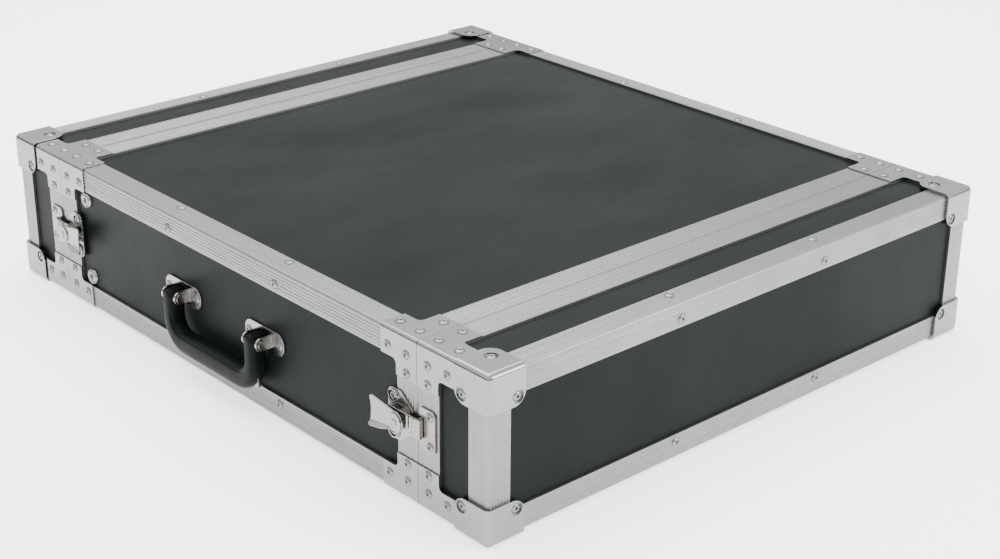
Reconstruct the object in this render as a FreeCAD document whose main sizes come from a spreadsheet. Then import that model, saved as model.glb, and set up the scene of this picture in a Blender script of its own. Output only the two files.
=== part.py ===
"""Two-unit rack case: a sleeve of four panels, two lift-off lids, four butterfly latches, one handle.

Frame: X width, Y depth, Z up, millimetres. The origin is at the middle of the underside and z = 0
is the bottom of the corner caps, the lowest faces of the case. The +Y end is the front.
"""
import FreeCAD, Part
import Sketcher
import math
import os

doc = FreeCAD.newDocument("rack_case")
sheet = doc.addObject("Spreadsheet::Sheet", "Sizes")
sheet_rows = []
parts = {}
X, Y, Z = 0, 1, 2


# --- sizes bound to the sheet -----------------------------------------------------------------

class Size:
    """A length that keeps its number and the sheet expression that it comes from."""

    def __init__(self, text, mm):
        self.text = text
        self.mm = mm

    def __add__(self, other):
        other = as_size(other)
        return Size(f"({self.text} + {other.text})", self.mm + other.mm)

    def __sub__(self, other):
        other = as_size(other)
        return Size(f"({self.text} - {other.text})", self.mm - other.mm)

    def __mul__(self, factor):
        return Size(f"({self.text} * ({factor}))", self.mm * factor)

    def __truediv__(self, factor):
        return Size(f"({self.text} / {factor})", self.mm / factor)

    def __neg__(self):
        return Size(f"(0 - {self.text})", -self.mm)

    __radd__ = __add__
    __rmul__ = __mul__


def as_size(value):
    """Turn a plain number into a Size, and leave a Size as it is."""
    if isinstance(value, Size):
        return value
    return Size(f"({value})", value)


def size(alias, millimetres, note):
    """Put one driving dimension in the sheet and return it."""
    row = len(sheet_rows) + 1
    sheet_rows.append(alias)
    sheet.set(f"A{row}", note)
    sheet.set(f"B{row}", str(millimetres))
    sheet.setAlias(f"B{row}", alias)
    return Size(f"Sizes.{alias}", millimetres)


case_width = size("case_width", 516, "over the side angles")
case_depth = size("case_depth", 610, "over both lids")
case_height = size("case_height", 124, "over the top and bottom angles")
lid_depth = size("lid_depth", 71, "one lid, face to seam")
panel_thick = size("panel_thick", 10, "laminated plywood")
angle_thick = size("angle_thick", 2, "aluminium angle and seam extrusion")
angle_leg = size("angle_leg", 19.5, "leg of an edge angle")
edge_round = size("edge_round", 2.5, "outer edge of angles and extrusions")
seam_leg = size("seam_leg", 22, "outer leg of a seam extrusion")
seam_inner_leg = size("seam_inner_leg", 12, "inner leg of the body extrusion")
lid_inner_leg = size("lid_inner_leg", 16, "inner leg of the lid extrusion")
seam_gap = size("seam_gap", 0.4, "between lid and body extrusions")
tongue_reach = size("tongue_reach", 5, "tongue past the seam")
groove_reach = size("groove_reach", 6, "depth of the lid groove")
tongue_slack = size("tongue_slack", 0.8, "each side of the tongue")
mitre_gap = size("mitre_gap", 0.2, "saw line at a mitre")

cap_thick = size("cap_thick", 2.4, "corner cap plate")
cap_reach_x = size("cap_reach_x", 30.5, "cap along the width")
cap_reach_y = size("cap_reach_y", 31.5, "cap along the depth")
cap_reach_z = size("cap_reach_z", 27, "cap along the height")
cap_ear_round = size("cap_ear_round", 10.5, "round of each ear")
cap_edge_round = size("cap_edge_round", 4.5, "outer edges of a cap")
cap_dimple_radius = size("cap_dimple_radius", 4.9, "dimple round a cap rivet")
cap_dimple_depth = size("cap_dimple_depth", 1.4, "dimple round a cap rivet")
cap_rivet_back = size("cap_rivet_back", 24.3, "cap's side rivet from the lid face")
cap_rivet_in = size("cap_rivet_in", 23.6, "cap's face rivet from the side")
cap_rivet_down = size("cap_rivet_down", 20.1, "cap's side and face rivets from the edge")
cap_rivet_level = size("cap_rivet_level", 20, "cap's level rivet from side and face")

brace_thick = size("brace_thick", 1, "folded brace plate")
brace_leg = size("brace_leg", 38, "brace leg along the case and across it")
brace_drop = size("brace_drop", 32, "brace leg up and down the side")
brace_edge_width = size("brace_edge_width", 20.5, "leg along the case edge")
brace_seam_width = size("brace_seam_width", 21.8, "leg along the seam")
brace_inner_round = size("brace_inner_round", 4, "inside corner of the plate")

rivet_head_radius = size("rivet_head_radius", 3.8, "domed head")
rivet_head_height = size("rivet_head_height", 1.35, "domed head")
rivet_shank_radius = size("rivet_shank_radius", 1.8, "rivet body")
rivet_shank_depth = size("rivet_shank_depth", 8, "rivet body under the head")
angle_rivet_at = size("angle_rivet_at", 71, "angle's rivets from mid depth")
angle_rivet_side = size("angle_rivet_side", 13.2, "angle's side rivet from the edge")
angle_rivet_level = size("angle_rivet_level", 14.2, "angle's level rivet from the edge")
face_rivet_at = size("face_rivet_at", 78, "lid angle's rivets from mid width")

unit_height = size("unit_height", 44.45, "one rack unit")
rack_hole_centre = size("rack_hole_centre", 232.55, "rack hole to the middle")
rack_hole_radius = size("rack_hole_radius", 3, "clearance for the rack screw")
strip_thick = size("strip_thick", 2, "rack strip steel")
strip_face_width = size("strip_face_width", 20.5, "punched flange")
strip_side_depth = size("strip_side_depth", 30, "flange on the side panel")
strip_recess = size("strip_recess", 21, "strip face behind the seam")
strip_screw_back = size("strip_screw_back", 16, "fixing screw behind the strip face")
strip_screw_rise = size("strip_screw_rise", 34.3, "fixing screw from mid height")
screw_radius = size("screw_radius", 3, "fixing screw")
screw_slack = size("screw_slack", 0.2, "round the screw")
screw_head_radius = size("screw_head_radius", 5.2, "countersunk head")
washer_radius = size("washer_radius", 7, "cup washer")
washer_height = size("washer_height", 2.2, "cup washer")
washer_lip = size("washer_lip", 0.8, "flat rim at the mouth of the cup")
washer_slack = size("washer_slack", 0.1, "round the screw head")
screw_head_depth = size("screw_head_depth", 1.65, "depth of the countersunk head")
screw_end = size("screw_end", 2, "screw past its nut")
nut_radius = size("nut_radius", 5.8, "across the corners, half")
nut_height = size("nut_height", 5, "nut")

handle_spacing = size("handle_spacing", 109, "between bracket centres")
bracket_length = size("bracket_length", 49, "bracket plate")
bracket_width = size("bracket_width", 18, "bracket plate")
bracket_thick = size("bracket_thick", 1.6, "bracket plate")
bracket_rivet = size("bracket_rivet", 19.5, "rivet from the bracket centre")
bracket_ear_gap = size("bracket_ear_gap", 7.5, "ear's inner face from its centre")
bracket_ear_thick = size("bracket_ear_thick", 1.8, "ear")
bracket_ear_radius = size("bracket_ear_radius", 5.2, "ear round the pin")
pivot_out = size("pivot_out", 10.5, "handle pivot off the panel")
grip_drop = size("grip_drop", 42, "pivot to the underside of the grip")
grip_bar = size("grip_bar", 18, "height of the grip bar")
grip_leg = size("grip_leg", 13, "width of a grip leg")
grip_deep = size("grip_deep", 15, "grip off the panel, its thickness")
grip_crown = size("grip_crown", 6.5, "grip leg above the pivot")
grip_round = size("grip_round", 5, "soft edges of the grip")
grip_bend_outer = size("grip_bend_outer", 15, "outer round where leg meets bar")
grip_bend_inner = size("grip_bend_inner", 9, "inner round where leg meets bar")
grip_crown_round = size("grip_crown_round", 5.4, "round over each leg's end")
pin_radius = size("pin_radius", 2, "handle pin")
pin_head_radius = size("pin_head_radius", 3.6, "handle pin head")
pin_head_height = size("pin_head_height", 1.2, "handle pin head")
pin_end_play = size("pin_end_play", 0.2, "between a pin head and its ear")
pin_slack = size("pin_slack", 0.25, "round the handle pin")
core_width = size("core_width", 8, "steel core of the grip")
core_thick = size("core_thick", 2.4, "steel core of the grip")
core_eye_radius = size("core_eye_radius", 3.8, "eye of the core round each pin")

latch_hub = size("latch_hub", 13.5, "hub to the seam")
latch_plate_long = size("latch_plate_long", 38.5, "base plate, upright")
latch_plate_near = size("latch_plate_near", 4, "base plate's near edge from the seam")
latch_plate_far = size("latch_plate_far", 30.5, "base plate's far edge from the seam")
latch_arm_near = size("latch_arm_near", 17, "narrow ends of the base plate from the seam")
latch_waist = size("latch_waist", 9, "half height of the plate's wide middle")
latch_plate_round = size("latch_plate_round", 5, "corners of the base plate")
latch_plate_thick = size("latch_plate_thick", 1.5, "base plate")
latch_rivet_rise = size("latch_rivet_rise", 13.4, "base rivet from the hub")
latch_rivet_back = size("latch_rivet_back", 24, "base rivet from the seam")
latch_cup_radius = size("latch_cup_radius", 5.4, "raised cup round a base rivet")
latch_cup_height = size("latch_cup_height", 1.4, "raised cup")
latch_cup_slack = size("latch_cup_slack", 0.4, "round the rivet head in its cup")
cam_radius = size("cam_radius", 7.5, "cam disc of the spindle")
cam_thick = size("cam_thick", 1.7, "cam disc of the spindle")
stem_radius = size("stem_radius", 4, "stem of the spindle")
stub_radius = size("stub_radius", 2.8, "pivot stub in the base plate")
stub_slack = size("stub_slack", 0.3, "round the pivot stub")
stub_short = size("stub_short", 0.2, "stub ends above the angle")
neck_radius = size("neck_radius", 2.4, "neck of the spindle in the wing")
spindle_head = size("spindle_head", 1.7, "riveted head over the wing")
spindle_bevel = size("spindle_bevel", 0.7, "sloping part of the head")
spindle_boss_radius = size("spindle_boss_radius", 4.4, "top of the head")
spindle_slope_radius = size("spindle_slope_radius", 6.4, "foot of the slope")
spindle_head_radius = size("spindle_head_radius", 7, "head where it meets the wing")
wing_out = size("wing_out", 8.4, "underside of the wing off the angle")
wing_thick = size("wing_thick", 1.6, "wing plate")
wing_reach = size("wing_reach", 27, "wing tip from the hub")
wing_tip = size("wing_tip", 12.5, "half width at the tip")
wing_root = size("wing_root", 8, "half width at the hub")
wing_notch = size("wing_notch", 2.4, "hollow of the tip")
wing_notch_round = size("wing_notch_round", 30, "curve of the hollow")
wing_tip_round = size("wing_tip_round", 2.5, "corners of the tip")
hook_out = size("hook_out", 3.6, "underside of the hook plate")
hook_thick = size("hook_thick", 1.8, "hook plate")
hook_half_width = size("hook_half_width", 7.2, "half width of the hook")
hook_slack = size("hook_slack", 0.4, "stem in the hook's slot")
hook_tail = size("hook_tail", 3, "hook past the end of its slot")
hook_round = size("hook_round", 4, "rear corners of the hook")
hook_travel = size("hook_travel", 8, "draw of the hook along the case")
hook_lift = size("hook_lift", 2.4, "rise of the hook over its draw")
claw_reach = size("claw_reach", 7.3, "claw's far face past the seam")
claw_thick = size("claw_thick", 1.7, "claw")
claw_drop = size("claw_drop", 1.7, "claw below the hook plate")
keeper_near = size("keeper_near", 2, "keeper's near edge from the seam")
keeper_far = size("keeper_far", 19, "keeper's far edge from the seam")
keeper_rise = size("keeper_rise", 16, "half height of the keeper")
keeper_round = size("keeper_round", 4, "corners of the keeper")
keeper_rivet_back = size("keeper_rivet_back", 14, "keeper rivet from the seam")
keeper_rivet_rise = size("keeper_rivet_rise", 11.3, "keeper rivet from mid height")
lip_at = size("lip_at", 4.2, "middle of the rolled lip from the seam")
lip_radius = size("lip_radius", 1, "rolled lip")
lip_sunk = size("lip_sunk", 0.2, "lip into the keeper plate")

doc.recompute()

side = case_width / 2
face = case_depth / 2
seam = face - lid_depth
low = cap_thick
top = low + case_height
middle = low + case_height / 2
panel_side = side - angle_thick
lining_side = panel_side - panel_thick
outer_inset = angle_thick
inner_inset = angle_thick + panel_thick
body_end = seam - seam_gap / 2
lid_start = seam + seam_gap / 2
handle_at = handle_spacing / 2
strip_face = seam - strip_recess


# --- modelling helpers ------------------------------------------------------------------------

def new_body(name):
    """An empty body."""
    return doc.addObject("PartDesign::Body", name)


def sketch_on(body, plane, offset):
    """A sketch on one of the body's origin planes, moved along that plane's normal."""
    sketch = body.newObject("Sketcher::SketchObject", f"{body.Name}_sketch")
    support = [item for item in body.Origin.OriginFeatures if item.Role == plane][0]
    sketch.AttachmentSupport = [(support, "")]
    sketch.MapMode = "FlatFace"
    sketch.setExpression("AttachmentOffset.Base.z", as_size(offset).text)
    return sketch


def fix_point(sketch, geometry, point, place):
    """Hold one point of a sketch at a place whose two coordinates are bound to the sheet."""
    for kind, coordinate in zip(("DistanceX", "DistanceY"), place):
        coordinate = as_size(coordinate)
        rule = Sketcher.Constraint(kind, -1, 1, geometry, point, coordinate.mm)
        number = sketch.addConstraint(rule)
        sketch.setExpression(f"Constraints[{number}]", coordinate.text)


def draw_outline(sketch, corners):
    """Draw a closed outline of straight lines through corners given as pairs of sizes."""
    start = sketch.GeometryCount
    count = len(corners)
    spots = [FreeCAD.Vector(as_size(a).mm, as_size(b).mm, 0) for a, b in corners]
    for index in range(count):
        sketch.addGeometry(Part.LineSegment(spots[index], spots[(index + 1) % count]))
    for index in range(count):
        following = start + (index + 1) % count
        sketch.addConstraint(Sketcher.Constraint("Coincident", start + index, 2, following, 1))
        fix_point(sketch, start + index, 1, corners[index])


def draw_rectangle(sketch, low_corner, high_corner):
    """Draw a rectangle between two opposite corners."""
    (left, bottom), (right, upper) = low_corner, high_corner
    draw_outline(sketch, [(left, bottom), (right, bottom), (right, upper), (left, upper)])


def draw_circle(sketch, centre, radius):
    """Draw a circle whose centre and radius are bound to the sheet."""
    spot = FreeCAD.Vector(as_size(centre[0]).mm, as_size(centre[1]).mm, 0)
    number = sketch.addGeometry(Part.Circle(spot, FreeCAD.Vector(0, 0, 1), radius.mm))
    fix_point(sketch, number, 3, centre)
    rule = sketch.addConstraint(Sketcher.Constraint("Radius", number, radius.mm))
    sketch.setExpression(f"Constraints[{rule}]", radius.text)


def pad(body, sketch, length):
    """Pad a sketch along its plane's normal."""
    feature = body.newObject("PartDesign::Pad", f"{body.Name}_pad")
    feature.Profile = sketch
    feature.setExpression("Length", as_size(length).text)
    return feature


def block(body, near, far, kind="Additive"):
    """Add or cut a block between two corners."""
    feature = body.newObject(f"PartDesign::{kind}Box", f"{body.Name}_{kind.lower()}_block")
    for prop, letter, start, end in zip(("Length", "Width", "Height"), "xyz", near, far):
        feature.setExpression(prop, (as_size(end) - start).text)
        feature.setExpression(f"Placement.Base.{letter}", as_size(start).text)
    return feature


TURN_TO = {
    X: FreeCAD.Rotation(FreeCAD.Vector(0, 1, 0), 90),
    Y: FreeCAD.Rotation(FreeCAD.Vector(1, 0, 0), -90),
    Z: FreeCAD.Rotation(),
}


def cylinder(body, start, axis, length, radius, kind="Additive"):
    """Add or cut a cylinder that runs from a point along +X, +Y or +Z."""
    feature = body.newObject(f"PartDesign::{kind}Cylinder", f"{body.Name}_{kind.lower()}_rod")
    feature.Placement = FreeCAD.Placement(FreeCAD.Vector(), TURN_TO[axis])
    feature.setExpression("Radius", as_size(radius).text)
    feature.setExpression("Height", as_size(length).text)
    for letter, value in zip("xyz", start):
        feature.setExpression(f"Placement.Base.{letter}", as_size(value).text)
    return feature


def straight_edges(feature, axis, spots):
    """Names of the straight edges along an axis that pass through the given spots across it."""
    doc.recompute()
    across = [number for number in (X, Y, Z) if number != axis]
    names = []
    for number, edge in enumerate(feature.Shape.Edges, 1):
        if edge.Degenerated or not isinstance(edge.Curve, Part.Line):
            continue
        start, end = [vertex.Point for vertex in edge.Vertexes]
        if abs(end[axis] - start[axis]) < 0.99 * edge.Length:
            continue
        for spot in spots:
            if all(abs(start[n] - as_size(value).mm) < 0.01 for n, value in zip(across, spot)):
                names.append(f"Edge{number}")
                break
    if not names:
        raise ValueError(f"{feature.Name}: no edge along axis {axis} at the given spots")
    return names


def fillet(body, names, radius):
    """Round the named edges of the body's last feature."""
    base = body.Tip
    feature = body.newObject("PartDesign::Fillet", f"{body.Name}_fillet")
    feature.Base = (base, names)
    feature.setExpression("Radius", as_size(radius).text)
    return feature


def slab(name, near, far):
    """A body that is one block, drawn in plan and padded upwards."""
    body = new_body(name)
    sketch = sketch_on(body, "XY_Plane", near[Z])
    draw_rectangle(sketch, near[:2], far[:2])
    pad(body, sketch, as_size(far[Z]) - near[Z])
    return body


def ring(body, back, front, outer_inset, inner_inset):
    """Add a rectangular ring round the case between two depths, its walls inset from the sides."""
    sketch = sketch_on(body, "XZ_Plane", -as_size(front))
    for inset in (outer_inset, inner_inset):
        draw_rectangle(
            sketch,
            (-(side - inset), low + inset),
            (side - inset, top - inset),
        )
    return pad(body, sketch, as_size(front) - back)


def mirrored(name, source, axis):
    """A mirror image: X and Y about the middle of the case, Z about its mid height."""
    feature = doc.addObject("Part::Mirroring", name)
    feature.Source = source
    feature.Normal = FreeCAD.Vector(*[1 if number == axis else 0 for number in (X, Y, Z)])
    if axis == Z:
        feature.setExpression("Base.z", middle.text)
    return feature


def group(name, members):
    """Several separate solids in one node."""
    feature = doc.addObject("Part::Compound", name)
    feature.Links = members
    return feature


def four_corners(name, source):
    """A piece at the top left corner, repeated at the other three corners."""
    right = mirrored(f"{name}_right", source, X)
    below = mirrored(f"{name}_below", source, Z)
    opposite = mirrored(f"{name}_opposite", right, Z)
    return group(name, [source, right, below, opposite])


def drilled(name, base, tool):
    """A piece with the holes that the shanks of a group of fasteners need."""
    feature = doc.addObject("Part::Cut", name)
    feature.Base = base
    feature.Tool = tool
    return feature


def mitred(name, frame, back, front, reach):
    """Saw a rectangular frame at its four corners, along the 45 degree lines."""
    saws = []
    for side_sign in (-1, 1):
        for height_sign in (-1, 1):
            saw = doc.addObject("Part::Box", f"{name}_saw")
            angle = -45 * side_sign * height_sign
            turn = FreeCAD.Rotation(FreeCAD.Vector(0, 1, 0), angle)
            length = reach * 3
            start = turn.multVec(FreeCAD.Vector(-length.mm / 2, 0, -mitre_gap.mm / 2))
            saw.Placement = FreeCAD.Placement(FreeCAD.Vector(), turn)
            saw.setExpression("Length", length.text)
            saw.setExpression("Width", (as_size(front) - back + 2).text)
            saw.setExpression("Height", mitre_gap.text)
            corner = middle + height_sign * (case_height / 2)
            saw.setExpression("Placement.Base.x", (side_sign * side + start.x).text)
            saw.setExpression("Placement.Base.y", (as_size(back) - 1).text)
            saw.setExpression("Placement.Base.z", (corner + start.z).text)
            saws.append(saw)
    return drilled(name, frame, group(f"{name}_saws", saws))


def keep(name, feature):
    """Record a finished sub-part under its node name."""
    feature.Label = name
    parts[name] = feature
    return feature


# --- rivets -----------------------------------------------------------------------------------

def rivet_shape(head_radius, head_height, shank_radius, shank_depth):
    """A domed blind rivet along +Z, its head on z = 0, with the small hole its mandrel leaves."""
    hole = head_radius * 0.24
    rim = head_height * 0.28
    crown = head_height * 0.95
    floor = head_height * 0.45
    points = [
        FreeCAD.Vector(0, 0, -shank_depth),
        FreeCAD.Vector(shank_radius, 0, -shank_depth),
        FreeCAD.Vector(shank_radius, 0, 0),
        FreeCAD.Vector(head_radius, 0, 0),
        FreeCAD.Vector(head_radius, 0, rim),
    ]
    shoulder = FreeCAD.Vector(head_radius * 0.72, 0, crown * 0.86)
    lip = FreeCAD.Vector(hole, 0, head_height)
    inner = [lip, FreeCAD.Vector(hole, 0, floor), FreeCAD.Vector(0, 0, floor), points[0]]
    edges = [Part.makeLine(a, b) for a, b in zip(points, points[1:])]
    edges.append(Part.Arc(points[-1], shoulder, lip).toShape())
    edges += [Part.makeLine(a, b) for a, b in zip(inner, inner[1:])]
    section = Part.Face(Part.Wire(edges))
    return section.revolve(FreeCAD.Vector(), FreeCAD.Vector(0, 0, 1), 360)


def rivet_group(name, places):
    """Rivets with their heads on the given points, each facing its outward direction."""
    pattern = rivet_shape(
        rivet_head_radius.mm, rivet_head_height.mm, rivet_shank_radius.mm, rivet_shank_depth.mm
    )
    solids = []
    for point, outward in places:
        rivet = pattern.copy()
        turn = FreeCAD.Rotation(FreeCAD.Vector(0, 0, 1), FreeCAD.Vector(*outward))
        rivet.Placement = FreeCAD.Placement(FreeCAD.Vector(*point), turn)
        solids.append(rivet)
    feature = doc.addObject("Part::Feature", name)
    feature.Shape = Part.makeCompound(solids)
    return feature


def side_place(side_sign, y, from_edge, height_sign, proud):
    """A rivet on a side face, at a distance from the top or bottom edge."""
    z = middle.mm + height_sign * (case_height.mm / 2 - from_edge)
    return (side_sign * (side.mm + proud), y, z), (side_sign, 0, 0)


def level_place(side_sign, from_edge, y, height_sign, proud):
    """A rivet on the top or underside, at a distance from the side edge."""
    z = middle.mm + height_sign * (case_height.mm / 2 + proud)
    return (side_sign * (side.mm - from_edge), y, z), (0, 0, height_sign)


def corner_signs():
    """The four corners of a section across the case."""
    return [(s, h) for s in (-1, 1) for h in (-1, 1)]


# A brace's rivets, each as its distance from the seam and from the case's edge.
brace_side_rivets = ((11.2, 13.5), (11.2, 27.5), (31.0, 12.8))
brace_level_rivets = ((9.8, 10.5), (9.8, 31.0), (30.5, 10.5))


def brace_places(seam_y, away):
    """Rivets of the four braces on one side of a seam; away is the direction from the seam."""
    on = brace_thick.mm
    places = []
    for s, h in corner_signs():
        for along, from_edge in brace_side_rivets:
            places.append(side_place(s, seam_y + away * along, from_edge, h, on))
        for along, from_edge in brace_level_rivets:
            places.append(level_place(s, from_edge, seam_y + away * along, h, on))
    return places


def body_rivet_places():
    """Braces at both mouths, and the long edge angles."""
    places = brace_places(-seam.mm, 1) + brace_places(seam.mm, -1)
    for s, h in corner_signs():
        for y in (-angle_rivet_at.mm, angle_rivet_at.mm):
            places.append(side_place(s, y, angle_rivet_side.mm, h, 0))
            places.append(level_place(s, angle_rivet_level.mm, y, h, 0))
    return places


def rear_lid_rivet_places():
    """Braces, corner caps and face angles of the rear lid."""
    in_dimple = cap_thick.mm - cap_dimple_depth.mm
    front_y = -face.mm
    places = brace_places(-seam.mm, -1)
    for s, h in corner_signs():
        places.append(side_place(s, front_y + cap_rivet_back.mm, cap_rivet_down.mm, h, in_dimple))
        places.append(level_place(s, cap_rivet_level.mm, front_y + cap_rivet_level.mm, h,
                                  in_dimple))
        cap_spot, _ = side_place(s, 0, cap_rivet_down.mm, h, 0)
        places.append(((s * (side - cap_rivet_in).mm, front_y - in_dimple, cap_spot[2]),
                       (0, -1, 0)))
        places.append(level_place(s, (side - face_rivet_at).mm,
                                  front_y + angle_rivet_side.mm, h, 0))
        angle_spot, _ = side_place(s, 0, angle_rivet_side.mm, h, 0)
        places.append(((s * face_rivet_at.mm, front_y, angle_spot[2]), (0, -1, 0)))
    for s in (-1, 1):
        for rise in (-keeper_rivet_rise.mm, keeper_rivet_rise.mm):
            x = s * (side.mm + latch_plate_thick.mm)
            places.append(((x, -(seam + keeper_rivet_back).mm, middle.mm + rise), (s, 0, 0)))
    return places


body_rivets = rivet_group("body_rivets", body_rivet_places())
rear_lid_rivets = rivet_group("rear_lid_rivets", rear_lid_rivet_places())


# --- body -------------------------------------------------------------------------------------

panel_end = body_end - angle_thick
rear_face = -face


def wall_panels(name, back, front):
    """Top, bottom, left and right walls between two depths; top and bottom run full width."""
    left = slab(f"{name}_left", (-panel_side, back, low + inner_inset),
                (-lining_side, front, top - inner_inset))
    upper = slab(f"{name}_top", (-panel_side, back, top - inner_inset),
                 (panel_side, front, top - outer_inset))
    lower = slab(f"{name}_bottom", (-panel_side, back, low + outer_inset),
                 (panel_side, front, low + inner_inset))
    right = slab(f"{name}_right", (lining_side, back, low + inner_inset),
                 (panel_side, front, top - inner_inset))
    return {"top": upper, "bottom": lower, "left": left, "right": right}


def edge_angle(name, back, front):
    """An L section along the top left edge, its outer edge rounded."""
    body = new_body(name)
    sketch = sketch_on(body, "XZ_Plane", -as_size(front))
    inside = -panel_side
    draw_outline(sketch, [
        (-side, top),
        (-side, top - angle_leg),
        (inside, top - angle_leg),
        (inside, top - angle_thick),
        (-side + angle_leg, top - angle_thick),
        (-side + angle_leg, top),
    ])
    web = pad(body, sketch, as_size(front) - back)
    fillet(body, straight_edges(web, Y, [(-side, top)]), edge_round)
    return body


def along_x(name, back, height_at, start, length, radius):
    """A plain rod along X, used for screw holes."""
    rod = doc.addObject("Part::Cylinder", name)
    rod.Placement = FreeCAD.Placement(FreeCAD.Vector(), TURN_TO[X])
    rod.setExpression("Radius", as_size(radius).text)
    rod.setExpression("Height", as_size(length).text)
    for letter, value in zip("xyz", (start, back, height_at)):
        rod.setExpression(f"Placement.Base.{letter}", as_size(value).text)
    return rod


# The rack strips' four fixing screws pass through the side panels.
screw_y = strip_face - strip_screw_back
screw_heights = (middle - strip_screw_rise, middle + strip_screw_rise)
screw_holes = {}
for letter, start in (("left", -panel_side - 1), ("right", lining_side - 1)):
    screw_holes[letter] = group(f"{letter}_screw_holes", [
        along_x(f"{letter}_screw_hole", screw_y, z, start, panel_thick + 2,
                screw_radius + screw_slack)
        for z in screw_heights
    ])

# Handle bracket rivets enter the left panel only.
bracket_centres = {"front": handle_at, "rear": -handle_at}
handle_rivets = rivet_group("handle_rivets", [
    ((-(panel_side + bracket_thick).mm, centre.mm + offset, middle.mm), (-1, 0, 0))
    for centre in bracket_centres.values()
    for offset in (-bracket_rivet.mm, bracket_rivet.mm)
])



def off_seam(distance):
    """A place along the depth, measured from the rear seam towards the body."""
    return -seam + distance


# The latches' base rivets enter the side panels just past the seam frames.
base_rivets = rivet_group("base_rivet_pair", [
    ((-(side + latch_plate_thick).mm, off_seam(latch_rivet_back).mm,
      middle.mm + latch_rivet_rise.mm * sign), (-1, 0, 0))
    for sign in (-1, 1)
])
right_rivets = mirrored("right_base_rivets", base_rivets, X)
rear_rivet_set = group("rear_base_rivets", [base_rivets, right_rivets])
front_rivet_set = mirrored("front_base_rivets", rear_rivet_set, Y)
latch_rivets = group("latch_rivet_set", [rear_rivet_set, front_rivet_set])

body_walls = wall_panels("body_wall", -panel_end, panel_end)
left_tools = group("left_wall_tools",
                   [body_rivets, screw_holes["left"], handle_rivets, latch_rivets])
right_tools = group("right_wall_tools", [body_rivets, screw_holes["right"], latch_rivets])
keep("body_top_panel", drilled("body_top", body_walls["top"], body_rivets))
keep("body_bottom_panel", drilled("body_bottom", body_walls["bottom"], body_rivets))
keep("body_left_panel", drilled("body_left", body_walls["left"], left_tools))
keep("body_right_panel", drilled("body_right", body_walls["right"], right_tools))

# Edge angles run between the two seam extrusions.
angle_end = seam - seam_leg - mitre_gap
top_left = edge_angle("angle_top_left", -angle_end, angle_end)
top_right = mirrored("angle_top_right", top_left, X)
keep("top_left_edge_angle", drilled("top_left_angle", top_left, body_rivets))
keep("top_right_edge_angle", drilled("top_right_angle", top_right, body_rivets))
for letter, source in (("left", top_left), ("right", top_right)):
    lower = mirrored(f"angle_bottom_{letter}", source, Z)
    keep(f"bottom_{letter}_edge_angle", drilled(f"bottom_{letter}_angle", lower, body_rivets))


def long_corners(value_side):
    """The four outer corner edges of a ring, as spots for rounding."""
    return [(-value_side, low), (-value_side, top), (value_side, low), (value_side, top)]


def body_seam_frame():
    """The tongue extrusion round the rear mouth of the body."""
    body = new_body("body_seam_ring")
    ring(body, -body_end, -(seam - seam_leg), 0, angle_thick)
    ring(body, -body_end, -panel_end, angle_thick, inner_inset + angle_thick)
    ring(body, -body_end, -(body_end - seam_inner_leg), inner_inset, inner_inset + angle_thick)
    last = ring(body, -(seam + tongue_reach), -body_end,
                outer_inset + tongue_slack, inner_inset - tongue_slack)
    fillet(body, straight_edges(last, Y, long_corners(side)), edge_round)
    return mitred("body_seam_mitred", body, -(seam + tongue_reach), -(seam - seam_leg), seam_leg)


def lid_seam_frame():
    """The groove extrusion round the rear lid, which takes the tongue."""
    body = new_body("lid_seam_ring")
    ring(body, -(seam + seam_leg), -lid_start, 0, angle_thick)
    ring(body, -(lid_start + lid_inner_leg), -lid_start, inner_inset, inner_inset + angle_thick)
    last = ring(body, -(lid_start + groove_reach + angle_thick), -(lid_start + groove_reach),
                angle_thick, inner_inset)
    fillet(body, straight_edges(last, Y, long_corners(side)), edge_round)
    return mitred("lid_seam_mitred", body, -(seam + seam_leg), -lid_start, seam_leg)


def brace(name, near_seam, away):
    """A folded plate over the top left edge, with one leg along the edge and one along the seam."""
    body = new_body(name)
    near = as_size(near_seam)
    far = near + brace_leg * away
    back, front = (near, far) if away > 0 else (far, near)
    outer_x = -side - brace_thick
    outer_z = top + brace_thick
    sketch = sketch_on(body, "XZ_Plane", -front)
    draw_outline(sketch, [
        (outer_x, outer_z),
        (outer_x, top - brace_drop),
        (-side, top - brace_drop),
        (-side, top),
        (-side + brace_leg, top),
        (-side + brace_leg, outer_z),
    ])
    folded = pad(body, sketch, front - back)
    inner = straight_edges(folded, Y, [(-side, top)])
    fillet(body, inner, edge_round)
    outer = straight_edges(body.Tip, Y, [(outer_x, outer_z)])
    fillet(body, outer, edge_round + brace_thick)
    band = near + brace_seam_width * away
    cut_back, cut_front = (band, far + away) if away > 0 else (far + away, band)
    block(body, (outer_x - 1, cut_back, top - brace_drop - 1),
          (-side + 1, cut_front, top - brace_edge_width), "Subtractive")
    block(body, (-side + brace_edge_width, cut_back, top - 1),
          (-side + brace_leg + 1, cut_front, outer_z + 1), "Subtractive")
    rounds = straight_edges(body.Tip, X, [(band, top - brace_edge_width)])
    rounds += straight_edges(body.Tip, Z, [(-side + brace_edge_width, band)])
    fillet(body, rounds, brace_inner_round)
    return body


# Seam frames and braces at the two mouths of the body.
rear_frame = body_seam_frame()
front_frame = mirrored("front_body_frame", rear_frame, Y)
rear_braces = four_corners("body_brace_set", brace("body_brace", -body_end, 1))
front_braces = mirrored("front_brace_set", rear_braces, Y)


# --- rack strips ------------------------------------------------------------------------------

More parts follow.
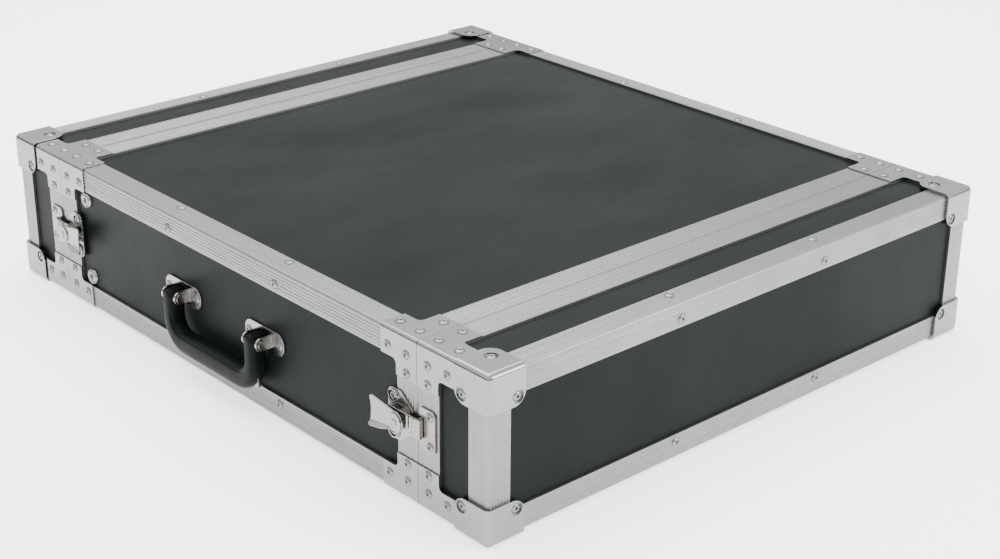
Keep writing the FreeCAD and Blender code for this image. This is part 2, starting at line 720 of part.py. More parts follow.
def rack_strip():
    """The left rack strip: a punched flange facing forwards and a flange on the side panel."""
    body = new_body("rack_strip")
    half = unit_height
    sketch = sketch_on(body, "XY_Plane", middle - half)
    inner_edge = -lining_side + strip_face_width
    draw_outline(sketch, [
        (-lining_side, strip_face),
        (inner_edge, strip_face),
        (inner_edge, strip_face - strip_thick),
        (-lining_side + strip_thick, strip_face - strip_thick),
        (-lining_side + strip_thick, strip_face - strip_side_depth),
        (-lining_side, strip_face - strip_side_depth),
    ])
    pad(body, sketch, half * 2)
    for rise in (unit_height / 7, unit_height / 2, unit_height * (6 / 7)):
        for sign in (-1, 1):
            cylinder(body, (-rack_hole_centre, strip_face - strip_thick - 1, middle + rise * sign),
                     Y, strip_thick + 2, rack_hole_radius, "Subtractive")
    for z in screw_heights:
        cylinder(body, (-lining_side - 1, screw_y, z), X, strip_thick + 2,
                 screw_radius + screw_slack, "Subtractive")
    return body


def turned_along_x(name, start, axis_y, axis_z, outline):
    """A body turned about a line along X; the outline gives (along, radius) from the start."""
    body = new_body(name)
    sketch = sketch_on(body, "XZ_Plane", -as_size(axis_y))
    sketch.setExpression("AttachmentOffset.Base.x", as_size(start).text)
    sketch.setExpression("AttachmentOffset.Base.y", as_size(axis_z).text)
    draw_outline(sketch, outline)
    turned = body.newObject("PartDesign::Revolution", f"{name}_turned")
    turned.Profile = sketch
    turned.ReferenceAxis = (sketch, ["H_Axis"])
    turned.Angle = 360
    return body


def strip_fasteners(z, tag):
    """One fixing screw, its cup washer and its nut on the left side, as three bodies."""
    reach = panel_thick + strip_thick + nut_height + screw_end
    bore = screw_radius + screw_slack
    washer = turned_along_x(f"washer_{tag}", -panel_side - washer_height, screw_y, z, [
        (0, screw_head_radius + washer_slack),
        (0, screw_head_radius + washer_slack + washer_lip),
        (washer_height, washer_radius),
        (washer_height, bore),
        (screw_head_depth, bore),
    ])
    screw = turned_along_x(f"screw_{tag}", -panel_side - washer_height, screw_y, z, [
        (0, 0),
        (0, screw_head_radius),
        (screw_head_depth, screw_radius),
        (washer_height + reach, screw_radius),
        (washer_height + reach, 0),
    ])
    nut = new_body(f"nut_{tag}")
    sketch = sketch_on(nut, "YZ_Plane", -lining_side + strip_thick)
    draw_outline(sketch, [
        (screw_y + nut_radius * math.cos(math.radians(60 * k)),
         z + nut_radius * math.sin(math.radians(60 * k)))
        for k in range(6)
    ])
    draw_circle(sketch, (screw_y, z), screw_radius)
    pad(nut, sketch, nut_height)
    return screw, washer, nut


left_strip = rack_strip()
keep("left_rack_strip", left_strip)
keep("right_rack_strip", mirrored("strip_right", left_strip, X))

fasteners = [strip_fasteners(z, tag) for z, tag in zip(screw_heights, ("lower", "upper"))]
fastener_names = ("rack_strip_screws", "rack_strip_cup_washers", "rack_strip_nuts")
for name, pair in zip(fastener_names, zip(*fasteners)):
    others = [mirrored(f"{name}_mirror", item, X) for item in pair]
    keep(name, group(f"{name}_set", list(pair) + others))


# --- handle -----------------------------------------------------------------------------------

pivot_x = -panel_side - pivot_out
pivot_z = middle


def handle_bracket(name, centre):
    """A riveted plate with two ears that carry one end of the grip."""
    body = new_body(name)
    half_long = bracket_length / 2
    half_wide = bracket_width / 2
    outer = -panel_side - bracket_thick
    plate = block(body, (outer, centre - half_long, middle - half_wide),
                  (-panel_side, centre + half_long, middle + half_wide))
    corners = [(centre + half_long * a, middle + half_wide * b) for a in (-1, 1) for b in (-1, 1)]
    fillet(body, straight_edges(plate, X, corners), half_wide - 1)
    far = bracket_ear_gap + bracket_ear_thick
    for start, end in ((-far, -bracket_ear_gap), (bracket_ear_gap, far)):
        block(body, (pivot_x, centre + start, middle - bracket_ear_radius),
              (outer, centre + end, middle + bracket_ear_radius))
        cylinder(body, (pivot_x, centre + start, middle), Y, end - start, bracket_ear_radius)
    cylinder(body, (pivot_x, centre - far - 1, middle), Y, far * 2 + 2,
             pin_radius + pin_slack, "Subtractive")
    return body


def grip_core():
    """The flat steel core: a bar with a leg up to each pin."""
    body = new_body("grip_core")
    bar_middle = pivot_z - grip_drop + grip_bar / 2
    half = core_width / 2
    span = handle_at + half
    sheet_x = (pivot_x - core_thick / 2, pivot_x + core_thick / 2)
    block(body, (sheet_x[0], -span, bar_middle - half), (sheet_x[1], span, bar_middle + half))
    for centre in (-handle_at, handle_at):
        block(body, (sheet_x[0], centre - half, bar_middle - half),
              (sheet_x[1], centre + half, pivot_z))
        cylinder(body, (pivot_x, centre - half, pivot_z), Y, core_width, core_eye_radius)
    return body


def grip_outer():
    """The moulded grip: a bar and two legs, with soft edges."""
    body = new_body("grip_outer")
    span = handle_at + grip_leg / 2
    inner_span = handle_at - grip_leg / 2
    upper = pivot_z + grip_crown
    lower = pivot_z - grip_drop
    bar_top = lower + grip_bar
    sketch = sketch_on(body, "YZ_Plane", pivot_x - grip_deep / 2)
    draw_outline(sketch, [
        (-span, lower), (span, lower), (span, upper), (inner_span, upper),
        (inner_span, bar_top), (-inner_span, bar_top), (-inner_span, upper), (-span, upper),
    ])
    bar = pad(body, sketch, grip_deep)
    fillet(body, straight_edges(bar, X, [(-span, lower), (span, lower)]), grip_bend_outer)
    fillet(body, straight_edges(body.Tip, X, [(-inner_span, bar_top), (inner_span, bar_top)]),
           grip_bend_inner)
    crowns = [(s * y, upper) for s in (-1, 1) for y in (span, inner_span)]
    fillet(body, straight_edges(body.Tip, X, crowns), grip_crown_round)
    doc.recompute()
    faces = (pivot_x.mm - grip_deep.mm / 2, pivot_x.mm + grip_deep.mm / 2)
    rims = [
        f"Edge{number}"
        for number, edge in enumerate(body.Tip.Shape.Edges, 1)
        if edge.BoundBox.XLength < 0.01 and min(abs(edge.BoundBox.XMin - x) for x in faces) < 0.01
    ]
    fillet(body, rims, grip_round)
    return body


def handle_pins():
    """The two headed pins that the grip swings on."""
    bodies = []
    reach = bracket_ear_gap + bracket_ear_thick + pin_end_play
    for centre in (-handle_at, handle_at):
        body = new_body("handle_pin")
        cylinder(body, (pivot_x, centre - reach, pivot_z), Y, reach * 2, pin_radius)
        for start in (centre - reach - pin_head_height, centre + reach):
            cylinder(body, (pivot_x, start, pivot_z), Y, pin_head_height, pin_head_radius)
        bodies.append(body)
    return group("handle_pin_pair", bodies)


pins = handle_pins()
core = drilled("grip_core_drilled", grip_core(), pins)
keep("handle_core", core)
keep("handle_pins", pins)
keep("handle_grip", drilled("grip_hollow", grip_outer(), group("grip_tools", [core, pins])))
for place, centre in bracket_centres.items():
    bracket = handle_bracket(f"{place}_bracket", centre)
    keep(f"{place}_handle_bracket", drilled(f"{place}_bracket_drilled", bracket, handle_rivets))
keep("handle_rivets", handle_rivets)


# --- latches ----------------------------------------------------------------------------------

def off_angle(distance):
    """A place outside the left side face, measured from the aluminium."""
    return -side - distance


hub_y = off_seam(latch_hub)


def latch_base():
    """The riveted base plate with a raised cup round each rivet and a hole for the spindle."""
    body = new_body("latch_base")
    near = off_seam(latch_plate_near)
    arm = off_seam(latch_arm_near)
    far = off_seam(latch_plate_far)
    half = latch_plate_long / 2
    outline = [(near, middle - latch_waist), (arm, middle - half), (far, middle - half),
               (far, middle + half), (arm, middle + half), (near, middle + latch_waist)]
    sketch = sketch_on(body, "YZ_Plane", off_angle(latch_plate_thick))
    draw_outline(sketch, outline)
    plate = pad(body, sketch, latch_plate_thick)
    fillet(body, straight_edges(plate, X, outline), latch_plate_round)
    for sign in (-1, 1):
        centre = (off_angle(latch_plate_thick + latch_cup_height), off_seam(latch_rivet_back),
                  middle + latch_rivet_rise * sign)
        cylinder(body, centre, X, latch_cup_height, latch_cup_radius)
        mouth = (centre[0] - 1, centre[1], centre[2])
        cylinder(body, mouth, X, latch_cup_height + 1,
                 rivet_head_radius + latch_cup_slack, "Subtractive")
    cylinder(body, (off_angle(latch_plate_thick + 1), hub_y, middle), X, latch_plate_thick + 2,
             stub_radius + stub_slack, "Subtractive")
    return body


def latch_spindle():
    """The turning spindle: pivot stub, cam disc, stem and riveted head."""
    under_wing = spindle_head + wing_thick
    foot = under_wing + wing_out
    cam_foot = foot - cam_thick
    return turned_along_x("latch_spindle", off_angle(foot), hub_y, middle, [
        (0, 0),
        (0, spindle_boss_radius),
        (spindle_bevel, spindle_slope_radius),
        (spindle_head, spindle_head_radius),
        (spindle_head, neck_radius),
        (under_wing, neck_radius),
        (under_wing, stem_radius),
        (cam_foot - cam_thick, stem_radius),
        (cam_foot - cam_thick, cam_radius),
        (cam_foot, cam_radius),
        (cam_foot, stub_radius),
        (foot - stub_short, stub_radius),
        (foot - stub_short, 0),
    ])


def latch_wing():
    """The fishtail wing, a plate that widens from its hub to a hollowed tip."""
    body = new_body("latch_wing")
    sketch = sketch_on(body, "YZ_Plane", off_angle(wing_out + wing_thick))
    tip = hub_y + wing_reach
    draw_outline(sketch, [
        (hub_y, middle - wing_root),
        (tip, middle - wing_tip),
        (tip - wing_notch, middle),
        (tip, middle + wing_tip),
        (hub_y, middle + wing_root),
    ])
    pad(body, sketch, wing_thick)
    tips = [(tip, middle - wing_tip), (tip, middle + wing_tip)]
    fillet(body, straight_edges(body.Tip, X, tips), wing_tip_round)
    fillet(body, straight_edges(body.Tip, X, [(tip - wing_notch, middle)]), wing_notch_round)
    cylinder(body, (off_angle(wing_out + wing_thick), hub_y, middle), X, wing_thick, wing_root)
    cylinder(body, (off_angle(wing_out + wing_thick + 1), hub_y, middle), X, wing_thick + 2,
             neck_radius, "Subtractive")
    return body


def latch_hook():
    """The drawn hook: a slotted plate that crosses the seam and turns down behind the lip."""
    body = new_body("latch_hook")
    outer = hook_out + hook_thick
    bore = stem_radius + hook_slack
    back = off_seam(latch_hub + hook_travel + bore + hook_tail)
    front = off_seam(-claw_reach)
    plate = block(body, (off_angle(outer), front, middle - hook_half_width),
                  (off_angle(hook_out), back, middle + hook_half_width))
    spots = [(back, middle + hook_half_width * sign) for sign in (-1, 1)]
    fillet(body, straight_edges(plate, X, spots), hook_round)
    block(body, (off_angle(hook_out), front, middle - hook_half_width),
          (off_angle(hook_out - claw_drop), front + claw_thick, middle + hook_half_width))
    block(body, (off_angle(outer + 1), hub_y, middle - bore),
          (off_angle(hook_out - 1), hub_y + hook_travel, middle + bore), "Subtractive")
    for y in (hub_y, hub_y + hook_travel):
        cylinder(body, (off_angle(outer + 1), y, middle), X, hook_thick + 2, bore, "Subtractive")
    return body


def latch_keeper():
    """The lid's riveted keeper with the rolled lip that the claw grips."""
    body = new_body("latch_keeper")
    near = off_seam(-keeper_near)
    far = off_seam(-keeper_far)
    plate = block(body, (off_angle(latch_plate_thick), far, middle - keeper_rise),
                  (off_angle(as_size(0)), near, middle + keeper_rise))
    spots = [(y, middle + keeper_rise * sign) for y in (near, far) for sign in (-1, 1)]
    fillet(body, straight_edges(plate, X, spots), keeper_round)
    lip_x = off_angle(latch_plate_thick + lip_radius - lip_sunk)
    cylinder(body, (lip_x, off_seam(-lip_at), middle - hook_half_width), Z,
             hook_half_width * 2, lip_radius)
    return body


base_pattern = latch_base()
spindle_pattern = latch_spindle()
wing_pattern = latch_wing()
hook_pattern = latch_hook()
keeper_pattern = latch_keeper()
latch_patterns = {
    "base": drilled("latch_base_drilled", base_pattern, base_rivets),
    "spindle": spindle_pattern,
    "hook": hook_pattern,
    "wing": wing_pattern,
    "keeper": drilled("latch_keeper_drilled", keeper_pattern, rear_lid_rivets),
}
for piece, pattern in latch_patterns.items():
    right = mirrored(f"right_{piece}", pattern, X)
    keep(f"rear_left_latch_{piece}", pattern)
    keep(f"rear_right_latch_{piece}", right)
    keep(f"front_left_latch_{piece}", mirrored(f"front_{piece}", pattern, Y))
    keep(f"front_right_latch_{piece}", mirrored(f"front_right_{piece}", right, Y))
keep("latch_base_rivets", latch_rivets)

keep("rear_body_seam_frame", drilled("rear_frame_drilled", rear_frame,
                                     group("rear_frame_tools", [body_rivets, latch_rivets])))
keep("front_body_seam_frame", drilled("front_frame_drilled", front_frame,
                                      group("front_frame_tools", [body_rivets, latch_rivets])))
keep("rear_body_corner_braces", drilled("rear_braces_drilled", rear_braces, body_rivets))
keep("front_body_corner_braces", drilled("front_braces_drilled", front_braces, body_rivets))
keep("body_rivets", body_rivets)


# --- lids -------------------------------------------------------------------------------------

def lid_edge_angles():
    """Angles round the lid's face, mitred, and four short ones back to the seam extrusion."""
    body = new_body("lid_angle_ring")
    leg_end = rear_face + angle_leg
    ring(body, rear_face, leg_end, 0, angle_thick)
    last = ring(body, rear_face, rear_face + angle_thick, 0, angle_leg)
    rims = straight_edges(last, Y, long_corners(side))
    rims += straight_edges(last, X, [(rear_face, low), (rear_face, top)])
    rims += straight_edges(last, Z, [(-side, rear_face), (side, rear_face)])
    fillet(body, rims, edge_round)
    loop = mitred("lid_angle_mitred", body, rear_face, leg_end, angle_leg)
    short = edge_angle("lid_short_angle", leg_end + mitre_gap, -(seam + seam_leg + mitre_gap))
    return group("lid_angle_set", [loop, four_corners("lid_short_angles", short)])


def corner_cap():
    """A pressed cap on the top left rear corner: three plates, each with a rounded ear."""
    body = new_body("corner_cap")
    outer = (-side - cap_thick, rear_face - cap_thick, top + cap_thick)
    inner = (-side + cap_reach_x, rear_face + cap_reach_y, top - cap_reach_z)
    block(body, (outer[0], outer[1], inner[2]), (inner[0], inner[1], outer[2]))
    hollow = block(body, (-side, rear_face, inner[2] - 1), (inner[0] + 1, inner[1] + 1, top),
                   "Subtractive")
    ears = straight_edges(hollow, Z, [(inner[0], inner[1])])
    ears += straight_edges(hollow, X, [(inner[1], inner[2])])
    ears += straight_edges(hollow, Y, [(inner[0], inner[2])])
    fillet(body, ears, cap_ear_round)
    folds = straight_edges(body.Tip, Z, [(-side, rear_face)])
    folds += straight_edges(body.Tip, X, [(rear_face, top)])
    folds += straight_edges(body.Tip, Y, [(-side, top)])
    fillet(body, folds, edge_round)
    rims = straight_edges(body.Tip, Z, [(outer[0], outer[1])])
    rims += straight_edges(body.Tip, X, [(outer[1], outer[2])])
    rims += straight_edges(body.Tip, Y, [(outer[0], outer[2])])
    fillet(body, rims, cap_edge_round)
    deep = cap_dimple_depth
    dimples = (
        ((outer[0] - 1, rear_face + cap_rivet_back, top - cap_rivet_down), X),
        ((-side + cap_rivet_in, outer[1] - 1, top - cap_rivet_down), Y),
        ((-side + cap_rivet_level, rear_face + cap_rivet_level, outer[2] - deep), Z),
    )
    for place, axis in dimples:
        cylinder(body, place, axis, deep + 1, cap_dimple_radius, "Subtractive")
    return body


face_back = rear_face + angle_thick
face_inner = face_back + panel_thick
lid_panel_start = -(lid_start + groove_reach + angle_thick)
rear_lid = {
    "face_panel": slab("lid_face", (-panel_side, face_back, low + outer_inset),
                       (panel_side, face_inner, top - outer_inset)),
    "wall_panels": group("lid_walls",
                         list(wall_panels("lid_wall", face_inner, lid_panel_start).values())),
    "edge_angles": lid_edge_angles(),
    "seam_frame": lid_seam_frame(),
    "corner_caps": four_corners("lid_cap_set", corner_cap()),
    "corner_braces": four_corners("lid_brace_set", brace("lid_brace", -lid_start, -1)),
}
keep("rear_lid_rivets", rear_lid_rivets)
keep("front_lid_rivets", mirrored("front_lid_rivet_set", rear_lid_rivets, Y))
for piece, plain in rear_lid.items():
    pattern = drilled(f"rear_{piece}", plain, rear_lid_rivets)
    keep(f"rear_lid_{piece}", pattern)
    keep(f"front_lid_{piece}", mirrored(f"front_{piece}", pattern, Y))


# --- checks and output ------------------------------------------------------------------------

doc.recompute()
broken = [item.Label for item in doc.Objects if {"Invalid", "Error"} & set(item.State)]
if broken:
    raise RuntimeError(f"these objects failed: {broken}")
for name, feature in parts.items():
    if feature.Shape.isNull() or not feature.Shape.isValid():
        raise RuntimeError(f"{name} has no valid shape")

os.makedirs("parts", exist_ok=True)
for name, feature in parts.items():
    feature.Shape.exportStep(f"parts/{name}.step")
    print(f"{name}: {len(feature.Shape.Solids)} solids, {feature.Shape.Volume / 1000:.2f} cm3")
print(f"{len(parts)} nodes")
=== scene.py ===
import math

import bmesh
import bpy
import numpy as np
from bpy.props import FloatProperty, FloatVectorProperty, PointerProperty
from mathutils import Euler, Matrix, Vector


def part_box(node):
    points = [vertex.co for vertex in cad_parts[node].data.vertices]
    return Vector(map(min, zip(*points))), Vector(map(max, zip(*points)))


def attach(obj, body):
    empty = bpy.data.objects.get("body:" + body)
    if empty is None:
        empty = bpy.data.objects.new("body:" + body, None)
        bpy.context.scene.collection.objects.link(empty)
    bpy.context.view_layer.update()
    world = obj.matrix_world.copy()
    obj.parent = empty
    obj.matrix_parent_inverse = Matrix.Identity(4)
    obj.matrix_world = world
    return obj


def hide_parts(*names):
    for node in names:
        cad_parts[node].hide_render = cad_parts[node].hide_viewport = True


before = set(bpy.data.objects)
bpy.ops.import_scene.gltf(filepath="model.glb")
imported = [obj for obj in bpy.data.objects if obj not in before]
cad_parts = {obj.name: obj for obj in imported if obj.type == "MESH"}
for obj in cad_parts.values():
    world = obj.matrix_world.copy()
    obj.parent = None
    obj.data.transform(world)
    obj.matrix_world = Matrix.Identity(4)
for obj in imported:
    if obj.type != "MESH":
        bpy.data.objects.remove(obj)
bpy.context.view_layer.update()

bl_info = {
    "name": "Rack Case Finish",
    "version": (1, 0, 0),
    "blender": (4, 5, 0),
    "location": "View3D > Sidebar > Rack Case",
    "description": "Finishes a shallow rack case: laminate, extrusions, caps, latches and handle",
    "category": "Object",
}

MM = 0.001
CORNERS = [(side, height) for side in (-1, 1) for height in (-1, 1)]
LATCHES = [(end, side) for end in ("rear", "front") for side in ("left", "right")]
END_SIGN = {"rear": -1, "front": 1}
SIDE_SIGN = {"left": -1, "right": 1}

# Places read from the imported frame, in metres.
case_low, case_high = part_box("rear_body_seam_frame")
HALF_WIDTH = case_high.x
EDGE_LOW = case_low.z
EDGE_HIGH = case_high.z
MIDDLE = (EDGE_LOW + EDGE_HIGH) / 2
FACE = -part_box("rear_lid_edge_angles")[0].y
BODY_END = -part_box("rear_body_corner_braces")[0].y
LID_START = -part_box("rear_lid_seam_frame")[1].y
PANEL_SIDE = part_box("body_right_panel")[1].x
WALL = PANEL_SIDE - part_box("body_right_panel")[0].x
SKIN = HALF_WIDTH - PANEL_SIDE

# Small sizes of the extrusions.
PLAIN_LIP = 2.4 * MM
FIRST_RIB = 1.6 * MM
RIB_AFTER_ROUND = 0.6 * MM
LEG_SAMPLES = 64
TONGUE_SLACK = 0.8 * MM
BODY_INNER_LEG = 12 * MM
LID_INNER_LEG = 16 * MM
GROOVE_DEPTH = 6 * MM
JOINT_GAP = 0.2 * MM
SHARPEST_ROUND = 0.03 * MM

# How far sharp edges of copied plates are broken, and the angles in degrees below which faces
# are joined, above which an edge is broken and above which shading breaks.
FINE_BREAK = 0.15 * MM
PLATE_BREAK = 0.2 * MM
HOOK_BREAK = 0.25 * MM
CAP_BREAK = 0.3 * MM
FLAT_ANGLE = 1.0
BREAK_ANGLE = 40
PLATE_SMOOTH_ANGLE = 35

# Half section of a rivet head as shares of its (height below the top, radius).
RIVET_HEIGHT = 1.35 * MM
RIVET_PROFILE = np.array([
    (-1.0, 0.94), (-0.9, 1.0), (-0.45, 0.86), (-0.1, 0.6), (0.0, 0.42), (-0.2, 0.33),
    (-0.95, 0.3),
])
RIVET_SIDES = 12

# Sides of other turned pieces, and their angles in degrees above which shading breaks.
FIXING_SIDES = 28
SPINDLE_SIDES = 40
SPINDLE_SMOOTH_ANGLE = 30
ROUND_SMOOTH_ANGLE = 60
GRIP_SMOOTH_ANGLE = 50

# Grip of the handle.
GRIP_LEG_HALF = 6.5 * MM
GRIP_BAR_SWELL = 2.5 * MM
GRIP_BAR_RISE = 7.5 * MM
GRIP_BEND = 18 * MM
GRIP_DOME = 6 * MM
GRIP_SWELL_START = 18 * MM
GRIP_SWELL_LENGTH = 34 * MM
GRIP_GROOVE_START = 16 * MM
GRIP_GROOVE_FADE = 8 * MM
GRIP_GROOVE_TURN = np.pi * 0.70
GRIP_GROOVE_WIDTH = 0.055
GRIP_SQUARENESS = 2 / 2.9

# Wing and hook of a latch, measured from the hub and off the aluminium.
WING_TIP = 27 * MM
WING_ROOT = 8 * MM
WING_NECK_HALF = 7.4 * MM
WING_FLARE = 5.0 * MM
WING_HOLLOW = 2.2 * MM
WING_CORNER = 3.4 * MM
WING_CORNER_START = 0.72
WING_LIP = 3.4 * MM
WING_LIP_START = 0.62
WING_LIP_FROM = 3 * MM
WING_LIP_RUN = 9 * MM
WING_CROWN = 0.9 * MM
WING_HEIGHT = 9.1 * MM
WING_SHEET = 1.3 * MM
WING_ROWS, WING_COLUMNS = 44, 29
KNUCKLE_RADIUS = 1.35 * MM
KNUCKLE_HEIGHT = 4.9 * MM
KNUCKLE_REACH = 6.7 * MM
KNUCKLES = (-7.5 * MM, -11.3 * MM, -15.1 * MM)

# Stretch of a noise that is the same in every direction.
EVEN = (1, 1, 1)


# --- mesh building ----------------------------------------------------------------------------

def grid_faces(rows, columns, close_rows, close_columns):
    """Quads between neighbours of a rows by columns grid, wrapping round where it is closed."""
    row = np.arange(rows if close_rows else rows - 1)
    column = np.arange(columns if close_columns else columns - 1)
    r, c = np.meshgrid(row, column, indexing="ij")
    down = (r + 1) % rows
    right = (c + 1) % columns
    quads = [r * columns + c, r * columns + right, down * columns + right, down * columns + c]
    return np.stack(quads, axis=-1).reshape(-1, 4).tolist()


def shade_smooth(mesh, angle):
    """Smooth shading that breaks at edges sharper than an angle in degrees."""
    mesh.set_sharp_from_angle(angle=math.radians(angle))
    mesh.polygons.foreach_set("use_smooth", np.ones(len(mesh.polygons), bool))


def link_mesh(name, mesh):
    """A new object for a mesh, at the origin of the scene."""
    piece = bpy.data.objects.new(name, mesh)
    bpy.context.scene.collection.objects.link(piece)
    return piece


def build(name, patches, smooth_angle=35):
    """One mesh object from patches, each a list of points and a list of faces into it."""
    points = []
    faces = []
    for patch_points, patch_faces in patches:
        start = len(points)
        points.extend(np.asarray(patch_points, float).reshape(-1, 3).tolist())
        faces.extend([[index + start for index in face] for face in patch_faces])
    mesh = bpy.data.meshes.new(name)
    mesh.from_pydata(points, [], faces)
    work = bmesh.new()
    work.from_mesh(mesh)
    bmesh.ops.remove_doubles(work, verts=work.verts, dist=1e-7)
    bmesh.ops.recalc_face_normals(work, faces=work.faces)
    work.to_mesh(mesh)
    work.free()
    shade_smooth(mesh, smooth_angle)
    return link_mesh(name, mesh)


def tube_patch(points, close_rows=False):
    """A tube from a grid of rings; open ends are closed with one flat face each."""
    rows, columns = points.shape[:2]
    faces = grid_faces(rows, columns, close_rows, True)
    if not close_rows:
        faces.append(list(range(columns)))
        faces.append(list(range((rows - 1) * columns, rows * columns)))
    return points.reshape(-1, 3), faces


def turned_patch(profile, origin, axis, count=32):
    """A solid of revolution: (along, radius) points turned round an axis through the origin."""
    profile = np.asarray(profile, float)
    axis = Vector(axis).normalized()
    side = axis.orthogonal().normalized()
    other = axis.cross(side)
    turn = np.linspace(0, 2 * np.pi, count, endpoint=False)
    ring = np.outer(np.cos(turn), side) + np.outer(np.sin(turn), other)
    along = profile[:, 0, None, None] * np.array(axis)
    points = np.array(origin) + along + profile[:, 1, None, None] * ring[None]
    return tube_patch(points)


def finish_piece(piece, body, material, slot, *nodes):
    """Give a piece its body and its material, and hide the nodes it stands for; slot is not used.
    """
    piece.data.materials.clear()
    piece.data.materials.append(material)
    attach(piece, body)
    if nodes:
        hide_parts(*nodes)
    return piece


def paint(node, material):
    """Give a node of the frame its material."""
    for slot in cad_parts[node].material_slots:
        slot.link = "OBJECT"
        slot.material = material


# --- materials --------------------------------------------------------------------------------

def new_group(name, inputs, outputs):
    """A shader node group with named value or colour sockets, and its input and output nodes."""
    tree = bpy.data.node_groups.new(name, "ShaderNodeTree")
    for label, kind, default in inputs:
        socket = tree.interface.new_socket(name=label, in_out="INPUT", socket_type=kind)
        socket.default_value = default
    for label, kind in outputs:
        tree.interface.new_socket(name=label, in_out="OUTPUT", socket_type=kind)
    return tree, tree.nodes.new("NodeGroupInput"), tree.nodes.new("NodeGroupOutput")


def add(tree, kind, **settings):
    """Add a node and set its properties; settings that name a socket set its value."""
    node = tree.nodes.new(kind)
    for key, value in settings.items():
        label = key.replace("_", " ").title()
        if hasattr(node, key):
            setattr(node, key, value)
        elif label in node.inputs:
            node.inputs[label].default_value = value
        else:
            raise KeyError(f"{kind} has no {key}")
    return node


def stretched_noise(tree, stretch, scale, detail=4.0, roughness=0.55):
    """Noise on object coordinates, squeezed by a different amount along each axis."""
    place = add(tree, "ShaderNodeTexCoord")
    mapping = add(tree, "ShaderNodeMapping")
    mapping.inputs["Scale"].default_value = stretch
    noise = add(tree, "ShaderNodeTexNoise", scale=scale, detail=detail, roughness=roughness)
    tree.links.new(place.outputs["Object"], mapping.inputs["Vector"])
    tree.links.new(mapping.outputs["Vector"], noise.inputs["Vector"])
    return noise.outputs["Fac"]


def remap(tree, value, low, high, new_low=0.0, new_high=1.0):
    """Map a value from one range to another, clamped."""
    node = tree.nodes.new("ShaderNodeMapRange")
    node.clamp = True
    for name, number in (("From Min", low), ("From Max", high), ("To Min", new_low),
                         ("To Max", new_high)):
        if isinstance(number, (int, float)):
            node.inputs[name].default_value = number
        else:
            tree.links.new(number, node.inputs[name])
    tree.links.new(value, node.inputs["Value"])
    return node.outputs["Result"]


def blend_colours(tree, factor, first, second):
    """Mix two colours by a mask; each colour is a tuple or a socket."""
    node = tree.nodes.new("ShaderNodeMix")
    node.data_type = "RGBA"
    sockets = [item for item in node.inputs if item.type == "RGBA"]
    for socket, value in zip(sockets, (first, second)):
        if isinstance(value, bpy.types.NodeSocket):
            tree.links.new(value, socket)
        else:
            socket.default_value = (*value, 1.0)
    tree.links.new(factor, node.inputs["Factor"])
    return [item for item in node.outputs if item.type == "RGBA"][0]


def make_streak_group(name, stretch, scale):
    """Fine drawn lines along one axis, with broad patches of stronger and weaker ones."""
    tree, entry, leave = new_group(
        name, [("Strength", "NodeSocketFloat", 1.0)], [("Streak", "NodeSocketFloat")]
    )
    fine = stretched_noise(tree, stretch, scale, 3.0, 0.7)
    broad = stretched_noise(tree, (6, 6, 6), 1.0, 2.0, 0.5)
    lines = remap(tree, fine, 0.3, 0.7)
    patch = remap(tree, broad, 0.3, 0.7, 0.45, 1.0)
    product = add(tree, "ShaderNodeMath", operation="MULTIPLY")
    tree.links.new(lines, product.inputs[0])
    tree.links.new(patch, product.inputs[1])
    scaled = add(tree, "ShaderNodeMath", operation="MULTIPLY")
    tree.links.new(product.outputs[0], scaled.inputs[0])
    tree.links.new(entry.outputs["Strength"], scaled.inputs[1])
    tree.links.new(scaled.outputs[0], leave.inputs["Streak"])
    return tree


def make_scuff_group():
    """Handling marks: thin broken scratches, and soft patches of dust and wiping."""
    tree, entry, leave = new_group(
        "case_scuffs",
        [("Amount", "NodeSocketFloat", 1.0)],
        [("Scratches", "NodeSocketFloat"), ("Smudge", "NodeSocketFloat")],
    )
    place = add(tree, "ShaderNodeTexCoord")
    masks = []
    for angle, scale in ((0.5, 130.0), (2.2, 90.0)):
        mapping = add(tree, "ShaderNodeMapping")
        mapping.inputs["Rotation"].default_value = (angle * 0.7, angle * 0.4, angle)
        mapping.inputs["Scale"].default_value = (1.0, 0.035, 0.6)
        noise = add(tree, "ShaderNodeTexNoise", scale=scale, detail=1.0)
        tree.links.new(place.outputs["Object"], mapping.inputs["Vector"])
        tree.links.new(mapping.outputs["Vector"], noise.inputs["Vector"])
        masks.append(remap(tree, noise.outputs["Fac"], 0.79, 0.84))
    both = add(tree, "ShaderNodeMath", operation="MAXIMUM")
    tree.links.new(masks[0], both.inputs[0])
    tree.links.new(masks[1], both.inputs[1])
    scaled = add(tree, "ShaderNodeMath", operation="MULTIPLY")
    tree.links.new(both.outputs[0], scaled.inputs[0])
    tree.links.new(entry.outputs["Amount"], scaled.inputs[1])
    tree.links.new(scaled.outputs[0], leave.inputs["Scratches"])
    smudge = remap(tree, stretched_noise(tree, (1.0, 1.8, 1.0), 7.0, 5.0, 0.6), 0.35, 0.7)
    tree.links.new(smudge, leave.inputs["Smudge"])
    return tree


def use_group(tree, group, **values):
    """Place a node group in a material with its own values."""
    node = tree.nodes.new("ShaderNodeGroup")
    node.node_tree = group
    for name, value in values.items():
        node.inputs[name.title()].default_value = value
    return node


def add_bump(tree, height, strength, distance, below=None):
    """A bump from a height, laid over an earlier bump if there is one."""
    bump = tree.nodes.new("ShaderNodeBump")
    bump.inputs["Strength"].default_value = strength
    bump.inputs["Distance"].default_value = distance
    tree.links.new(height, bump.inputs["Height"])
    if below is not None:
        tree.links.new(below, bump.inputs["Normal"])
    return bump.outputs["Normal"]


def new_material(name):
    """A material with a fresh Principled shader."""
    material = bpy.data.materials.new(name)
    material.use_nodes = True
    tree = material.node_tree
    shader = tree.nodes["Principled BSDF"]
    return material, tree, shader


